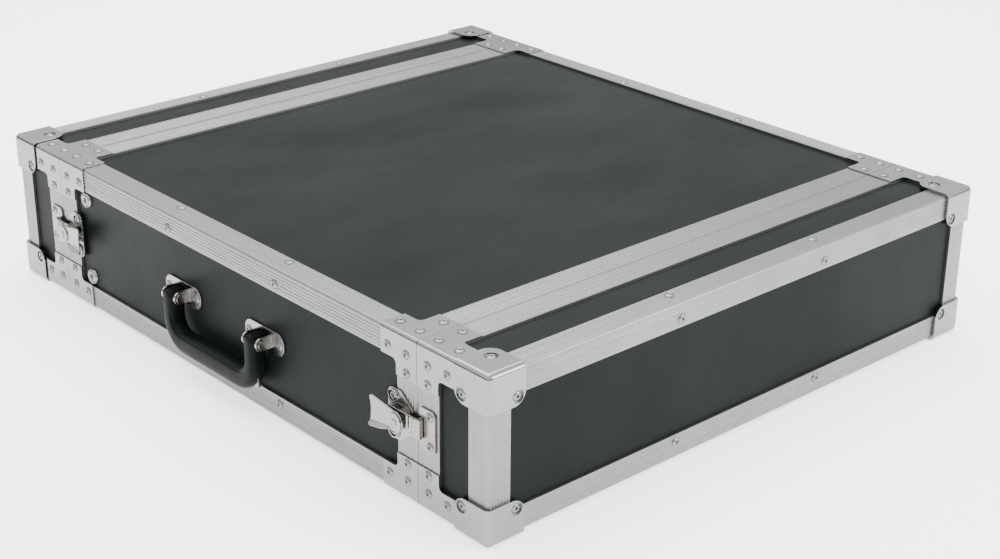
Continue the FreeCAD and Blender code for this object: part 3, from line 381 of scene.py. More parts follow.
def metal(name, colour, dull_colour, roughness, streaks=None, spangle=0.0, bump=0.15):
    """A bare or plated metal: drawn lines or plating spangle, tarnish and handling marks."""
    material, tree, shader = new_material(name)
    scuffs = use_group(tree, bpy.data.node_groups["case_scuffs"], amount=1.0)
    tarnish = remap(tree, stretched_noise(tree, EVEN, 38.0, 6.0, 0.65), 0.32, 0.72)
    base = blend_colours(tree, tarnish, colour, dull_colour)
    bright = tuple(min(1.0, value * 1.25) for value in colour)
    base = blend_colours(tree, scuffs.outputs["Scratches"], base, bright)
    height = stretched_noise(tree, EVEN, 420.0, 3.0, 0.6)
    rough_mask = tarnish
    if streaks:
        lines = use_group(tree, bpy.data.node_groups[streaks], strength=1.0)
        base = blend_colours(tree, lines.outputs["Streak"], base,
                             tuple(value * 0.8 for value in colour))
        height = lines.outputs["Streak"]
        rough_mask = lines.outputs["Streak"]
    if spangle:
        cells = add(tree, "ShaderNodeTexVoronoi", scale=260.0)
        place = add(tree, "ShaderNodeTexCoord")
        tree.links.new(place.outputs["Object"], cells.inputs["Vector"])
        tint = add(tree, "ShaderNodeMath", operation="MULTIPLY")
        tree.links.new(cells.outputs["Color"], tint.inputs[0])
        tint.inputs[1].default_value = spangle
        base = blend_colours(tree, tint.outputs[0], base, bright)
    low, high = roughness
    rough = remap(tree, rough_mask, 0.0, 1.0, low, high)
    tree.links.new(base, shader.inputs["Base Color"])
    tree.links.new(rough, shader.inputs["Roughness"])
    shader.inputs["Metallic"].default_value = 1.0
    tree.links.new(add_bump(tree, height, bump, 0.0002), shader.inputs["Normal"])
    return material


def laminate_material(colour, pale):
    """Black laminate: fine orange-peel grain, wiped patches and a few pale scuffs."""
    material, tree, shader = new_material("case_laminate")
    scuffs = use_group(tree, bpy.data.node_groups["case_scuffs"], amount=0.15)
    mottle = remap(tree, stretched_noise(tree, EVEN, 14.0, 6.0, 0.6), 0.3, 0.7)
    base = blend_colours(tree, mottle, colour, pale)
    grain = stretched_noise(tree, EVEN, 900.0, 2.0, 0.5)
    speck = remap(tree, grain, 0.35, 0.8, 0.0, 0.5)
    base = blend_colours(tree, speck, base, tuple(value * 1.5 for value in pale))
    base = blend_colours(tree, scuffs.outputs["Scratches"], base,
                         tuple(value * 2.4 for value in pale))
    rough = remap(tree, scuffs.outputs["Smudge"], 0.0, 1.0, 0.36, 0.5)
    tree.links.new(base, shader.inputs["Base Color"])
    tree.links.new(rough, shader.inputs["Roughness"])
    shader.inputs["Specular IOR Level"].default_value = 0.05
    peel = stretched_noise(tree, EVEN, 260.0, 2.0, 0.5)
    lower = add_bump(tree, peel, 0.25, 0.0003)
    tree.links.new(add_bump(tree, grain, 0.2, 0.0001, lower), shader.inputs["Normal"])
    return material


def plastic_material(colour, worn):
    """Moulded grip plastic: spark-eroded texture, rubbed paler in patches."""
    material, tree, shader = new_material("case_grip_plastic")
    scuffs = use_group(tree, bpy.data.node_groups["case_scuffs"], amount=0.4)
    rubbed = remap(tree, stretched_noise(tree, EVEN, 55.0, 5.0, 0.6), 0.35, 0.75)
    base = blend_colours(tree, rubbed, colour, worn)
    base = blend_colours(tree, scuffs.outputs["Scratches"], base,
                         tuple(value * 1.8 for value in worn))
    rough = remap(tree, rubbed, 0.0, 1.0, 0.38, 0.55)
    tree.links.new(base, shader.inputs["Base Color"])
    tree.links.new(rough, shader.inputs["Roughness"])
    shader.inputs["Specular IOR Level"].default_value = 0.06
    texture = stretched_noise(tree, EVEN, 1600.0, 2.0, 0.5)
    tree.links.new(add_bump(tree, texture, 0.3, 0.00015), shader.inputs["Normal"])
    return material


def coated_material(name, colour):
    """Black coated steel with a slightly pebbled skin."""
    material, tree, shader = new_material(name)
    patch = remap(tree, stretched_noise(tree, EVEN, 60.0, 4.0, 0.6), 0.3, 0.7)
    base = blend_colours(tree, patch, colour, tuple(value * 1.6 for value in colour))
    rough = remap(tree, patch, 0.0, 1.0, 0.35, 0.5)
    tree.links.new(base, shader.inputs["Base Color"])
    tree.links.new(rough, shader.inputs["Roughness"])
    skin = stretched_noise(tree, EVEN, 700.0, 2.0, 0.5)
    tree.links.new(add_bump(tree, skin, 0.25, 0.0002), shader.inputs["Normal"])
    return material


def plain_stage_material(colour, glow):
    """A pale matt backdrop, evenly lit from behind, with very faint unevenness."""
    material, tree, shader = new_material("studio_paper")
    drift = remap(tree, stretched_noise(tree, EVEN, 1.5, 2.0, 0.5), 0.3, 0.7)
    base = blend_colours(tree, drift, colour, tuple(value * 0.985 for value in colour))
    tree.links.new(base, shader.inputs["Base Color"])
    shader.inputs["Roughness"].default_value = 0.9
    shader.inputs["Emission Color"].default_value = (1.0, 1.0, 1.0, 1.0)
    shader.inputs["Emission Strength"].default_value = glow
    return material


# --- properties -------------------------------------------------------------------------------

class RackCaseFinish(bpy.types.PropertyGroup):
    """Colours and small sizes of the finished case."""

    laminate: FloatVectorProperty(
        name="Laminate", description="Colour of the panels", subtype="COLOR",
        default=(0.0028, 0.0043, 0.0044), min=0, max=1)
    laminate_pale: FloatVectorProperty(
        name="Laminate, wiped", description="Paler patches of the panels", subtype="COLOR",
        default=(0.0050, 0.0070, 0.0069), min=0, max=1)
    aluminium: FloatVectorProperty(
        name="Aluminium", description="Colour of the extrusions", subtype="COLOR",
        default=(0.235, 0.235, 0.227), min=0, max=1)
    zinc: FloatVectorProperty(
        name="Zinc plate", description="Colour of caps and braces", subtype="COLOR",
        default=(0.215, 0.222, 0.222), min=0, max=1)
    nickel: FloatVectorProperty(
        name="Nickel", description="Colour of latches, brackets and washers", subtype="COLOR",
        default=(0.28, 0.27, 0.26), min=0, max=1)
    grip: FloatVectorProperty(
        name="Grip", description="Colour of the handle grip", subtype="COLOR",
        default=(0.0022, 0.0032, 0.0031), min=0, max=1)
    rib_pitch: FloatProperty(
        name="Rib pitch", description="Spacing of the fine ribs along the extrusions",
        default=2.6 * MM, unit="LENGTH", precision=5)
    rib_depth: FloatProperty(
        name="Rib depth", description="Depth of the grooves between the ribs",
        default=0.3 * MM, unit="LENGTH", precision=5)
    edge_round: FloatProperty(
        name="Edge round", description="Radius of the outer edge of the extrusions",
        default=2.5 * MM, unit="LENGTH", precision=5)
    grip_groove: FloatProperty(
        name="Grip groove", description="Depth of the long grooves in the grip",
        default=0.7 * MM, unit="LENGTH", precision=5)


class RackCaseStudio(bpy.types.PropertyGroup):
    """Camera and light."""

    azimuth: FloatProperty(
        name="Azimuth", description="Turn of the view from the rear face towards the left side",
        default=math.radians(41.98), subtype="ANGLE")
    elevation: FloatProperty(
        name="Elevation", description="Height of the view above the level",
        default=math.radians(23.8), subtype="ANGLE")
    roll: FloatProperty(
        name="Roll", description="Tilt of the camera about its own axis",
        default=math.radians(0.43), subtype="ANGLE")
    distance: FloatProperty(
        name="Distance", description="Camera to the point it looks at",
        default=1.568, unit="LENGTH")
    look_at: FloatVectorProperty(
        name="Look at", description="Point in the middle of the view", subtype="XYZ",
        default=(0.0024, -0.0257, 0.0266))
    lens: FloatProperty(
        name="Lens", description="Focal length in millimetres", default=66.88)
    horizon: FloatVectorProperty(
        name="Horizon", description="Colour of the surroundings near the level", subtype="COLOR",
        default=(0.05, 0.05, 0.055), min=0, max=1)
    sky: FloatVectorProperty(
        name="Sky", description="Colour of the surroundings overhead", subtype="COLOR",
        default=(1.0, 1.0, 1.0), min=0, max=1)
    sky_strength: FloatProperty(
        name="Sky strength", description="Brightness of the surroundings", default=2.4)
    paper: FloatVectorProperty(
        name="Paper", description="Colour of the floor and backdrop", subtype="COLOR",
        default=(0.92, 0.92, 0.92), min=0, max=1)
    paper_glow: FloatProperty(
        name="Paper glow", description="Light given off by the backdrop", default=1.6)


# --- extrusions -------------------------------------------------------------------------------

def rib_wave(distance, start, end):
    """Groove depth along a leg: a narrow cosine dip each pitch, none within the end margins."""
    look = bpy.context.scene.rack_case_finish
    dip = (0.5 - 0.5 * np.cos(2 * np.pi * (distance - start) / look.rib_pitch)) ** 5
    inside = (distance > start) & (distance < end)
    return np.where(inside, dip * look.rib_depth, 0.0)


def angle_profile(leg, thick):
    """Closed L section as insets from its two outer faces, with ribs and a rounded corner."""
    r = bpy.context.scene.rack_case_finish.edge_round
    along = np.linspace(leg, r, LEG_SAMPLES)
    ribs = rib_wave(along, r + RIB_AFTER_ROUND, leg - PLAIN_LIP)
    first = np.column_stack([ribs, along])
    turn = np.linspace(0, np.pi / 2, 9)[1:-1]
    corner = np.column_stack([r - r * np.cos(turn), r - r * np.sin(turn)])
    second = np.column_stack([along[::-1], ribs[::-1]])
    inside = np.array([(leg, thick), (thick, thick), (thick, leg)])
    return np.vstack([first, corner, second, inside])


def bar_patch(profile, side_sign, height_sign, start, end):
    """An angle carried along Y: each profile point keeps its insets from side and edge."""
    x = side_sign * (HALF_WIDTH - profile[:, 0])
    edge = EDGE_HIGH if height_sign > 0 else EDGE_LOW
    z = edge - height_sign * profile[:, 1]
    rings = [np.column_stack([x, np.full(len(x), y), z]) for y in (start, end)]
    return tube_patch(np.stack(rings))


def ring_patch(profile, face, direction):
    """A profile of (depth, inset) carried round the case section, with rounded outer corners.

    At each corner the point runs round an arc whose radius is the edge round less the inset."""
    r = bpy.context.scene.rack_case_finish.edge_round
    inset = profile[:, 1]
    radius = np.maximum(r - inset, SHARPEST_ROUND)
    centre_x = HALF_WIDTH - inset - radius
    centre_z = (EDGE_HIGH - EDGE_LOW) / 2 - inset - radius
    turn = np.linspace(0, np.pi / 2, 6)
    rings = []
    for quarter, (sx, sz) in enumerate(((1, 1), (-1, 1), (-1, -1), (1, -1))):
        for angle in turn + quarter * np.pi / 2:
            x = sx * centre_x + radius * np.cos(angle)
            z = MIDDLE + sz * centre_z + radius * np.sin(angle)
            rings.append(np.column_stack([x, face + direction * profile[:, 0], z]))
    return tube_patch(np.stack(rings), close_rows=True)


def ribbed_leg(length):
    """Outer face of a seam extrusion as (depth, inset) points with ribs."""
    along = np.linspace(0.0, length, LEG_SAMPLES)
    return np.column_stack([along, rib_wave(along, FIRST_RIB, length - PLAIN_LIP)])


def body_frame_profile():
    """Tongue extrusion: outer leg, web, inner leg and tongue, as (depth, inset)."""
    low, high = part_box("rear_body_seam_frame")
    leg = high.y + BODY_END
    tongue = -BODY_END - low.y
    deep = SKIN + WALL
    rest = np.array([
        (leg, SKIN), (SKIN, SKIN), (SKIN, deep), (BODY_INNER_LEG, deep),
        (BODY_INNER_LEG, deep + SKIN), (0, deep + SKIN), (0, deep - TONGUE_SLACK),
        (-tongue, deep - TONGUE_SLACK), (-tongue, SKIN + TONGUE_SLACK),
        (0, SKIN + TONGUE_SLACK),
    ])
    return np.vstack([ribbed_leg(leg), rest])


def lid_frame_profile():
    """Groove extrusion: outer leg, web, inner leg and groove, as (depth, inset)."""
    low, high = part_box("rear_lid_seam_frame")
    leg = high.y - low.y
    deep = SKIN + WALL
    rest = np.array([
        (leg, SKIN), (GROOVE_DEPTH + SKIN, SKIN), (GROOVE_DEPTH + SKIN, deep),
        (LID_INNER_LEG, deep), (LID_INNER_LEG, deep + SKIN), (0, deep + SKIN), (0, deep),
        (GROOVE_DEPTH, deep), (GROOVE_DEPTH, SKIN), (0, SKIN),
    ])
    return np.vstack([ribbed_leg(leg), rest])


class RACKCASE_OT_extrusions(bpy.types.Operator):
    """Ribbed edge angles and seam frames, carried along the edges of the case"""

    bl_idname = "rackcase.extrusions"
    bl_label = "Extrusions"

    def execute(self, context):
        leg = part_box("top_left_edge_angle")[1].x + HALF_WIDTH
        profile = angle_profile(leg, SKIN)
        along_y = bpy.data.materials["case_aluminium_y"]
        level = bpy.data.materials["case_aluminium_level"]
        for side, height in CORNERS:
            place = f"{'top' if height > 0 else 'bottom'}_{'right' if side > 0 else 'left'}"
            low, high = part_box(f"{place}_edge_angle")
            bar = build(f"{place}_angle", [bar_patch(profile, side, height, low.y, high.y)])
            finish_piece(bar, "case_body", along_y, "aluminium", f"{place}_edge_angle")
        for end, sign in END_SIGN.items():
            frame_piece = build(f"{end}_tongue_frame",
                                [ring_patch(body_frame_profile(), sign * BODY_END, -sign)])
            finish_piece(frame_piece, "case_body", level, "aluminium", f"{end}_body_seam_frame")
            groove = build(f"{end}_groove_frame",
                           [ring_patch(lid_frame_profile(), sign * LID_START, sign)])
            finish_piece(groove, f"{end}_lid", level, "aluminium", f"{end}_lid_seam_frame")
            short_start = -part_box("rear_lid_seam_frame")[0].y + JOINT_GAP
            patches = [ring_patch(profile, sign * FACE, -sign)]
            for side, height in CORNERS:
                patches.append(bar_patch(profile, side, height, sign * short_start,
                                         sign * (FACE - leg - JOINT_GAP)))
            angles = build(f"{end}_lid_angles", patches)
            finish_piece(angles, f"{end}_lid", level, "aluminium", f"{end}_lid_edge_angles")
        return {"FINISHED"}


# --- copies of CAD nodes ----------------------------------------------------------------------

def island_boxes(node):
    """Lowest and highest corner of every loose solid in a node, as two arrays."""
    work = bmesh.new()
    work.from_mesh(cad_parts[node].data)
    bmesh.ops.remove_doubles(work, verts=work.verts, dist=1e-6)
    seen = set()
    boxes = []
    for seed in work.verts:
        if seed in seen:
            continue
        seen.add(seed)
        pending = [seed]
        island = []
        while pending:
            vertex = pending.pop()
            island.append(tuple(vertex.co))
            for edge in vertex.link_edges:
                other = edge.other_vert(vertex)
                if other not in seen:
                    seen.add(other)
                    pending.append(other)
        corners = np.array(island)
        boxes.append((corners.min(0), corners.max(0)))
    work.free()
    return boxes


def softened(name, nodes, body, material, slot, width=HOOK_BREAK):
    """A merged copy of CAD nodes with its flats joined up and its sharp edges slightly broken."""
    work = bmesh.new()
    for node in nodes:
        work.from_mesh(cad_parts[node].data)
    bmesh.ops.remove_doubles(work, verts=work.verts, dist=2e-6)
    bmesh.ops.dissolve_limit(work, angle_limit=math.radians(FLAT_ANGLE), verts=work.verts,
                             edges=work.edges)
    mesh = bpy.data.meshes.new(name)
    work.to_mesh(mesh)
    work.free()
    shade_smooth(mesh, PLATE_SMOOTH_ANGLE)
    piece = link_mesh(name, mesh)
    bevel = piece.modifiers.new("edge_break", "BEVEL")
    bevel.width = width
    bevel.segments = 2
    bevel.limit_method = "ANGLE"
    bevel.angle_limit = math.radians(BREAK_ANGLE)
    bevel.use_clamp_overlap = True
    even = piece.modifiers.new("even_shading", "WEIGHTED_NORMAL")
    even.keep_sharp = True
    return finish_piece(piece, body, material, slot, *nodes)


# --- rivets -----------------------------------------------------------------------------------

def rivet_patch(low, high):
    """A blind rivet on one solid's place: a half section turned round its axis into a dome with
    a rolled rim round the mandrel hole."""
    size = high - low
    axis_index = int(np.argmax(size))
    radius = np.sort(size)[0] / 2
    centre = (low + high) / 2
    case_middle = (0, 0, MIDDLE)[axis_index]
    sign = 1.0 if centre[axis_index] > case_middle else -1.0
    axis = np.zeros(3)
    axis[axis_index] = sign
    top = centre.copy()
    top[axis_index] = high[axis_index] if sign > 0 else low[axis_index]
    return turned_patch(RIVET_PROFILE * (RIVET_HEIGHT, radius), top, axis, RIVET_SIDES)


class RACKCASE_OT_rivets(bpy.types.Operator):
    """Blind rivets with rolled rims and open mandrel holes"""

    bl_idname = "rackcase.rivets"
    bl_label = "Rivets"

    def execute(self, context):
        steel = bpy.data.materials["case_rivet_steel"]
        groups = {"body_rivets": "case_body", "handle_rivets": "case_body",
                  "latch_base_rivets": "case_body", "rear_lid_rivets": "rear_lid",
                  "front_lid_rivets": "front_lid"}
        for node, body in groups.items():
            patches = [rivet_patch(low, high) for low, high in island_boxes(node)]
            heads = build(f"{node}_heads", patches, ROUND_SMOOTH_ANGLE)
            finish_piece(heads, body, steel, "rivet_steel", node)
        return {"FINISHED"}


# --- panels, caps, braces, strips -------------------------------------------------------------

class RACKCASE_OT_panels(bpy.types.Operator):
    """Laminated panels of the body and both lids"""

    bl_idname = "rackcase.panels"
    bl_label = "Panels"

    def execute(self, context):
        skin = bpy.data.materials["case_laminate"]
        for node in ("body_top_panel", "body_bottom_panel", "body_left_panel",
                     "body_right_panel"):
            paint(node, skin)
        for end in END_SIGN:
            paint(f"{end}_lid_face_panel", skin)
            paint(f"{end}_lid_wall_panels", skin)
        return {"FINISHED"}


class RACKCASE_OT_caps_and_braces(bpy.types.Operator):
    """Pressed corner caps and folded braces with broken edges"""

    bl_idname = "rackcase.caps_and_braces"
    bl_label = "Caps and braces"

    def execute(self, context):
        zinc = bpy.data.materials["case_zinc"]
        for end in END_SIGN:
            softened(f"{end}_caps", [f"{end}_lid_corner_caps"], f"{end}_lid", zinc,
                     "zinc_plate", CAP_BREAK)
            softened(f"{end}_lid_folded_braces", [f"{end}_lid_corner_braces"], f"{end}_lid",
                     zinc, "zinc_plate", PLATE_BREAK)
            softened(f"{end}_body_folded_braces", [f"{end}_body_corner_braces"], "case_body",
                     zinc, "zinc_plate", PLATE_BREAK)
        return {"FINISHED"}


# Half sections in millimetres as (height off the panel, radius); closed round in the washer.
WASHER_PROFILE = [
    (0.0, 7.0), (0.5, 6.95), (1.3, 6.6), (1.9, 6.2), (2.2, 5.8), (2.1, 5.4), (1.6, 5.1),
    (0.5, 3.6), (0.0, 3.4),
]
SCREW_PROFILE = [
    (-17.0, 0.0), (-17.0, 2.9), (0.3, 3.0), (1.3, 4.5), (1.6, 4.6), (1.95, 4.0), (2.1, 2.9),
    (2.1, 2.6), (1.2, 2.3), (-1.2, 1.7), (-1.4, 0.0),
]


def fixing_patch(low, high, profile):
    """A turned washer or screw standing on the panel where the washer of the frame stands."""
    centre = (low + high) / 2
    outward = np.sign(centre[0])
    place = np.array([outward * PANEL_SIDE, centre[1], centre[2]])
    return turned_patch(np.array(profile) * MM, place, (outward, 0, 0), FIXING_SIDES)


class RACKCASE_OT_rack_strips(bpy.types.Operator):
    """Punched rack strips with their screws, cup washers and nuts"""

    bl_idname = "rackcase.rack_strips"
    bl_label = "Rack strips"

    def execute(self, context):
        coat = bpy.data.materials["case_strip_coat"]
        nickel = bpy.data.materials["case_nickel"]
        softened("left_strip", ["left_rack_strip"], "case_body", coat, "strip_steel")
        softened("right_strip", ["right_rack_strip"], "case_body", coat, "strip_steel")
        softened("strip_nuts", ["rack_strip_nuts"], "case_body", nickel, "nickel", FINE_BREAK)
        for part, profile in (("cup_washers", WASHER_PROFILE), ("screws", SCREW_PROFILE)):
            patches = [fixing_patch(low, high, profile)
                       for low, high in island_boxes("rack_strip_cup_washers")]
            turned = build(f"strip_{part}", patches)
            finish_piece(turned, "case_body", nickel, "nickel", f"rack_strip_{part}")
        return {"FINISHED"}


# --- handle -----------------------------------------------------------------------------------

def grip_path(count):
    """Middle line of the grip in the (y, z) plane: down one arm, round a wide bend, along the
    bar and up the other arm; returns the points, the directions along it and the arc lengths."""
    low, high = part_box("handle_grip")
    arm = high.y - GRIP_LEG_HALF
    bar = low.z + GRIP_BAR_RISE
    turn = np.linspace(0, np.pi / 2, 20)
    first = np.column_stack([-arm + GRIP_BEND * (1 - np.cos(turn)),
                             bar + GRIP_BEND * (1 - np.sin(turn))])
    start = np.array([[-arm, high.z]])
    half = np.vstack([start, first])
    line = np.vstack([half, np.column_stack([-half[::-1, 0], half[::-1, 1]])])
    step = np.hypot(*np.diff(line, axis=0).T)
    length = np.concatenate([[0], np.cumsum(step)])
    at = np.linspace(0, length[-1], count)
    points = np.column_stack([np.interp(at, length, line[:, axis]) for axis in (0, 1)])
    tangent = np.gradient(points, at, axis=0)
    tangent /= np.hypot(*tangent.T)[:, None]
    return points, tangent, at


def grip_patch():
    """Moulded grip: a rounded-square section carried along the path, thicker along the bar,
    with a long groove near its inner edge on both faces and domed ends."""
    look = bpy.context.scene.rack_case_finish
    low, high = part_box("handle_grip")
    points, tangent, at = grip_path(140)
    inward = np.column_stack([-tangent[:, 1], tangent[:, 0]])
    from_end = np.minimum(at, at[-1] - at)
    swell = np.clip((from_end - GRIP_SWELL_START) / GRIP_SWELL_LENGTH, 0, 1)
    swell = swell * swell * (3 - 2 * swell)
    half_flat = GRIP_LEG_HALF + GRIP_BAR_SWELL * swell
    half_deep = (high.x - low.x) / 2
    end = np.sqrt(np.clip(1 - (1 - np.clip(from_end / GRIP_DOME, 0, 1)) ** 2, 0.02, 1))
    turn = np.linspace(0, 2 * np.pi, 72, endpoint=False)
    flat = np.sign(np.cos(turn)) * np.abs(np.cos(turn)) ** GRIP_SQUARENESS
    deep = np.sign(np.sin(turn)) * np.abs(np.sin(turn)) ** GRIP_SQUARENESS
    away = np.abs(np.abs(turn - np.pi) - GRIP_GROOVE_TURN)
    groove = np.exp(-(away / GRIP_GROOVE_WIDTH) ** 2)
    fade = np.clip((from_end[:, None] - GRIP_GROOVE_START) / GRIP_GROOVE_FADE, 0, 1)
    cut = 1 - groove[None] * (look.grip_groove / half_flat[:, None]) * fade
    across = half_flat[:, None] * end[:, None] * flat[None] * cut
    out = half_deep * (0.55 + 0.45 * end[:, None]) * deep[None] * cut
    centre_x = (low.x + high.x) / 2
    y = points[:, 0, None] + inward[:, 0, None] * across
    z = points[:, 1, None] + inward[:, 1, None] * across
    return tube_patch(np.stack([centre_x + out, y, z], axis=-1))


class RACKCASE_OT_handle(bpy.types.Operator):
    """Moulded grip on its strap, pivot pins and pressed brackets"""

    bl_idname = "rackcase.handle"
    bl_label = "Handle"

    def execute(self, context):
        plastic = bpy.data.materials["case_grip_plastic"]
        nickel = bpy.data.materials["case_nickel"]
        grip = build("grip", [grip_patch()], GRIP_SMOOTH_ANGLE)
        finish_piece(grip, "handle", plastic, "grip_plastic", "handle_grip")
        softened("grip_strap", ["handle_core"], "handle", nickel, "nickel", FINE_BREAK)
        softened("grip_pins", ["handle_pins"], "handle", nickel, "nickel", FINE_BREAK)
        for end in END_SIGN:
            softened(f"{end}_bracket", [f"{end}_handle_bracket"], "case_body", nickel, "nickel",
                     PLATE_BREAK)
        return {"FINISHED"}


# --- latches ----------------------------------------------------------------------------------

def latch_place(end, side):
    """Hub point on the case side, and the outward, bodyward and upward directions there."""
    low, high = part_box(f"{end}_{side}_latch_spindle")
    hub = (low + high) / 2
    outward = np.array([SIDE_SIGN[side], 0, 0.0])
    bodyward = np.array([0, -END_SIGN[end], 0.0])
    origin = np.array([SIDE_SIGN[side] * HALF_WIDTH, hub.y, hub.z])
    return origin, outward, bodyward, np.array([0, 0, 1.0])


def wing_sheet(origin, outward, bodyward, upward):
    """Stamped wing: half width is a circle round the hub that runs into a straight flare; the
    tail's end is slightly hollow between rounded corners, and its lower edge turns outward in a
    finger lip."""
    share = np.linspace(0, 1, WING_ROWS)[:, None]
    across = np.linspace(-1, 1, WING_COLUMNS)[None]
    hollow = WING_HOLLOW * (1 - across ** 2)
    past = np.clip((np.abs(across) - WING_CORNER_START) / (1 - WING_CORNER_START), 0, 1)
    corner = WING_CORNER * (1 - np.sqrt(1 - past ** 2))
    length = WING_TIP + WING_ROOT - (hollow + corner) * share ** 6
    along = -WING_ROOT + share ** 0.9 * length
    circle = np.sqrt(np.clip(WING_ROOT ** 2 - along ** 2, 0, None))
    reach = np.clip(along / WING_TIP, 0, 1)
    tail = WING_NECK_HALF + WING_FLARE * reach
    neck = np.clip(along / WING_LIP_FROM, 0, 1)
    width = np.where(along < 0, circle, np.maximum(circle, tail * neck))
    edge = np.clip((-across - WING_LIP_START) / (1 - WING_LIP_START), 0, 1)
    lip = WING_LIP * edge ** 1.6 * np.clip((along - WING_LIP_FROM) / WING_LIP_RUN, 0, 1)
    height = WING_HEIGHT + lip + WING_CROWN * reach ** 2
    sideways = width * across * (1 - 0.1 * edge)
    points = (np.array(origin) + along[..., None] * bodyward + sideways[..., None] * upward
              + height[..., None] * outward)
    return points.reshape(-1, 3), grid_faces(WING_ROWS, WING_COLUMNS, False, False)


def knuckle_patch(origin, outward, bodyward, upward, along):
    """A round bar across the hook, sunk in its plate: a circle carried along the upright."""
    turn = np.linspace(0, 2 * np.pi, 20, endpoint=False)
    ring = (np.array(origin) + (along + KNUCKLE_RADIUS * np.cos(turn))[:, None] * bodyward
            + (KNUCKLE_HEIGHT + KNUCKLE_RADIUS * np.sin(turn))[:, None] * outward)
    return tube_patch(np.stack([ring - KNUCKLE_REACH * upward, ring + KNUCKLE_REACH * upward]))


# Half section of the spindle in millimetres as (height off the aluminium, radius).
SPINDLE_PROFILE = [
    (1.7, 0.0), (1.7, 7.5), (3.4, 7.5), (3.4, 4.0), (9.85, 4.0), (9.85, 7.0), (10.4, 7.0),
    (10.75, 6.7), (10.9, 6.2), (10.9, 3.7), (10.55, 3.3), (10.5, 2.7), (11.3, 2.4),
    (11.6, 1.8), (11.7, 0.9), (11.7, 0.0),
]


class RACKCASE_OT_latches(bpy.types.Operator):
    """Butterfly latches: base, spindle, hook, wing and keeper"""

    bl_idname = "rackcase.latches"
    bl_label = "Latches"

    def execute(self, context):
        nickel = bpy.data.materials["case_nickel"]
        for end, side in LATCHES:
            tag = f"{end}_{side}_latch"
            origin, outward, bodyward, upward = latch_place(end, side)
            softened(f"{tag}_plate", [f"{tag}_base"], "case_body", nickel, "nickel", PLATE_BREAK)
            softened(f"{tag}_catch", [f"{tag}_keeper"], f"{end}_lid", nickel, "nickel",
                     PLATE_BREAK)
            softened(f"{tag}_claw", [f"{tag}_hook"], f"{tag}_hook_body", nickel, "nickel")
            profile = np.array(SPINDLE_PROFILE) * MM
            stem = build(f"{tag}_stem", [turned_patch(profile, origin, outward, SPINDLE_SIDES)],
                         SPINDLE_SMOOTH_ANGLE)
            finish_piece(stem, f"{tag}_rotor", nickel, "nickel", f"{tag}_spindle")
            bars = [knuckle_patch(origin, outward, bodyward, upward, along)
                    for along in KNUCKLES]
            knuckles = build(f"{tag}_knuckles", bars)
            finish_piece(knuckles, f"{tag}_hook_body", nickel, "nickel")
            wing = build(f"{tag}_tail", [wing_sheet(origin, outward, bodyward, upward)],
                         ROUND_SMOOTH_ANGLE)
            shell = wing.modifiers.new("sheet", "SOLIDIFY")
            shell.thickness = WING_SHEET
            shell.offset = 0
            finish_piece(wing, f"{tag}_rotor", nickel, "nickel", f"{tag}_wing")
        return {"FINISHED"}


# --- finishes ---------------------------------------------------------------------------------

class RACKCASE_OT_finishes(bpy.types.Operator):
    """Materials of the case, each with its own grain noise, and shared streak and scuff groups"""

    bl_idname = "rackcase.finishes"
    bl_label = "Finishes"

    def execute(self, context):
        look = context.scene.rack_case_finish
        make_scuff_group()
        make_streak_group("streaks_along_y", (1.0, 0.02, 1.0), 900.0)
        make_streak_group("streaks_level", (0.02, 1.0, 0.02), 900.0)
        aluminium = tuple(look.aluminium)
        dull = tuple(value * 0.88 for value in aluminium)
        metal("case_aluminium_y", aluminium, dull, (0.36, 0.5), "streaks_along_y")
        metal("case_aluminium_level", aluminium, dull, (0.36, 0.5), "streaks_level")
        zinc = tuple(look.zinc)
        metal("case_zinc", zinc, tuple(value * 0.85 for value in zinc), (0.13, 0.22),
              spangle=0.25)
        nickel = tuple(look.nickel)
        metal("case_nickel", nickel, tuple(value * 0.78 for value in nickel), (0.16, 0.34))
        metal("case_rivet_steel", zinc, tuple(value * 0.72 for value in zinc), (0.22, 0.4))
        laminate_material(tuple(look.laminate), tuple(look.laminate_pale))
        plastic_material(tuple(look.grip), tuple(value * 1.5 for value in look.grip))
        coated_material("case_strip_coat", (0.004, 0.004, 0.0045))
        studio = context.scene.rack_case_studio
        plain_stage_material(tuple(studio.paper), studio.paper_glow)
        return {"FINISHED"}


# --- studio -----------------------------------------------------------------------------------

def area_light(name, place, target, size, power, colour):
    """A soft box at a place, facing a target."""
    lamp = bpy.data.lights.new(name, "AREA")
    lamp.shape = "RECTANGLE"
    lamp.size, lamp.size_y = size
    lamp.energy = power
    lamp.color = colour
    holder = bpy.data.objects.new(name, lamp)
    holder.location = place
    direction = Vector(target) - Vector(place)
    holder.rotation_euler = direction.to_track_quat("-Z", "Y").to_euler()
    bpy.context.scene.collection.objects.link(holder)


# Half width of the floor in metres.
FLOOR_REACH = 30.0

# Soft boxes as name, place, target, width and height, watts and colour.
SOFT_BOXES = (
    ("soft_top", (0.2, 0.5, 2.2), (0, 0, 0.1), (2.2, 2.2), 90, (1, 1, 1)),
    ("soft_front", (1.4, -2.2, 1.1), (0, -0.2, 0.05), (1.6, 1.2), 60, (1, 0.99, 0.97)),
)

# Upward share of a direction where the surroundings turn from dark to bright.
HORIZON_END, SKY_START = 0.14, 0.40


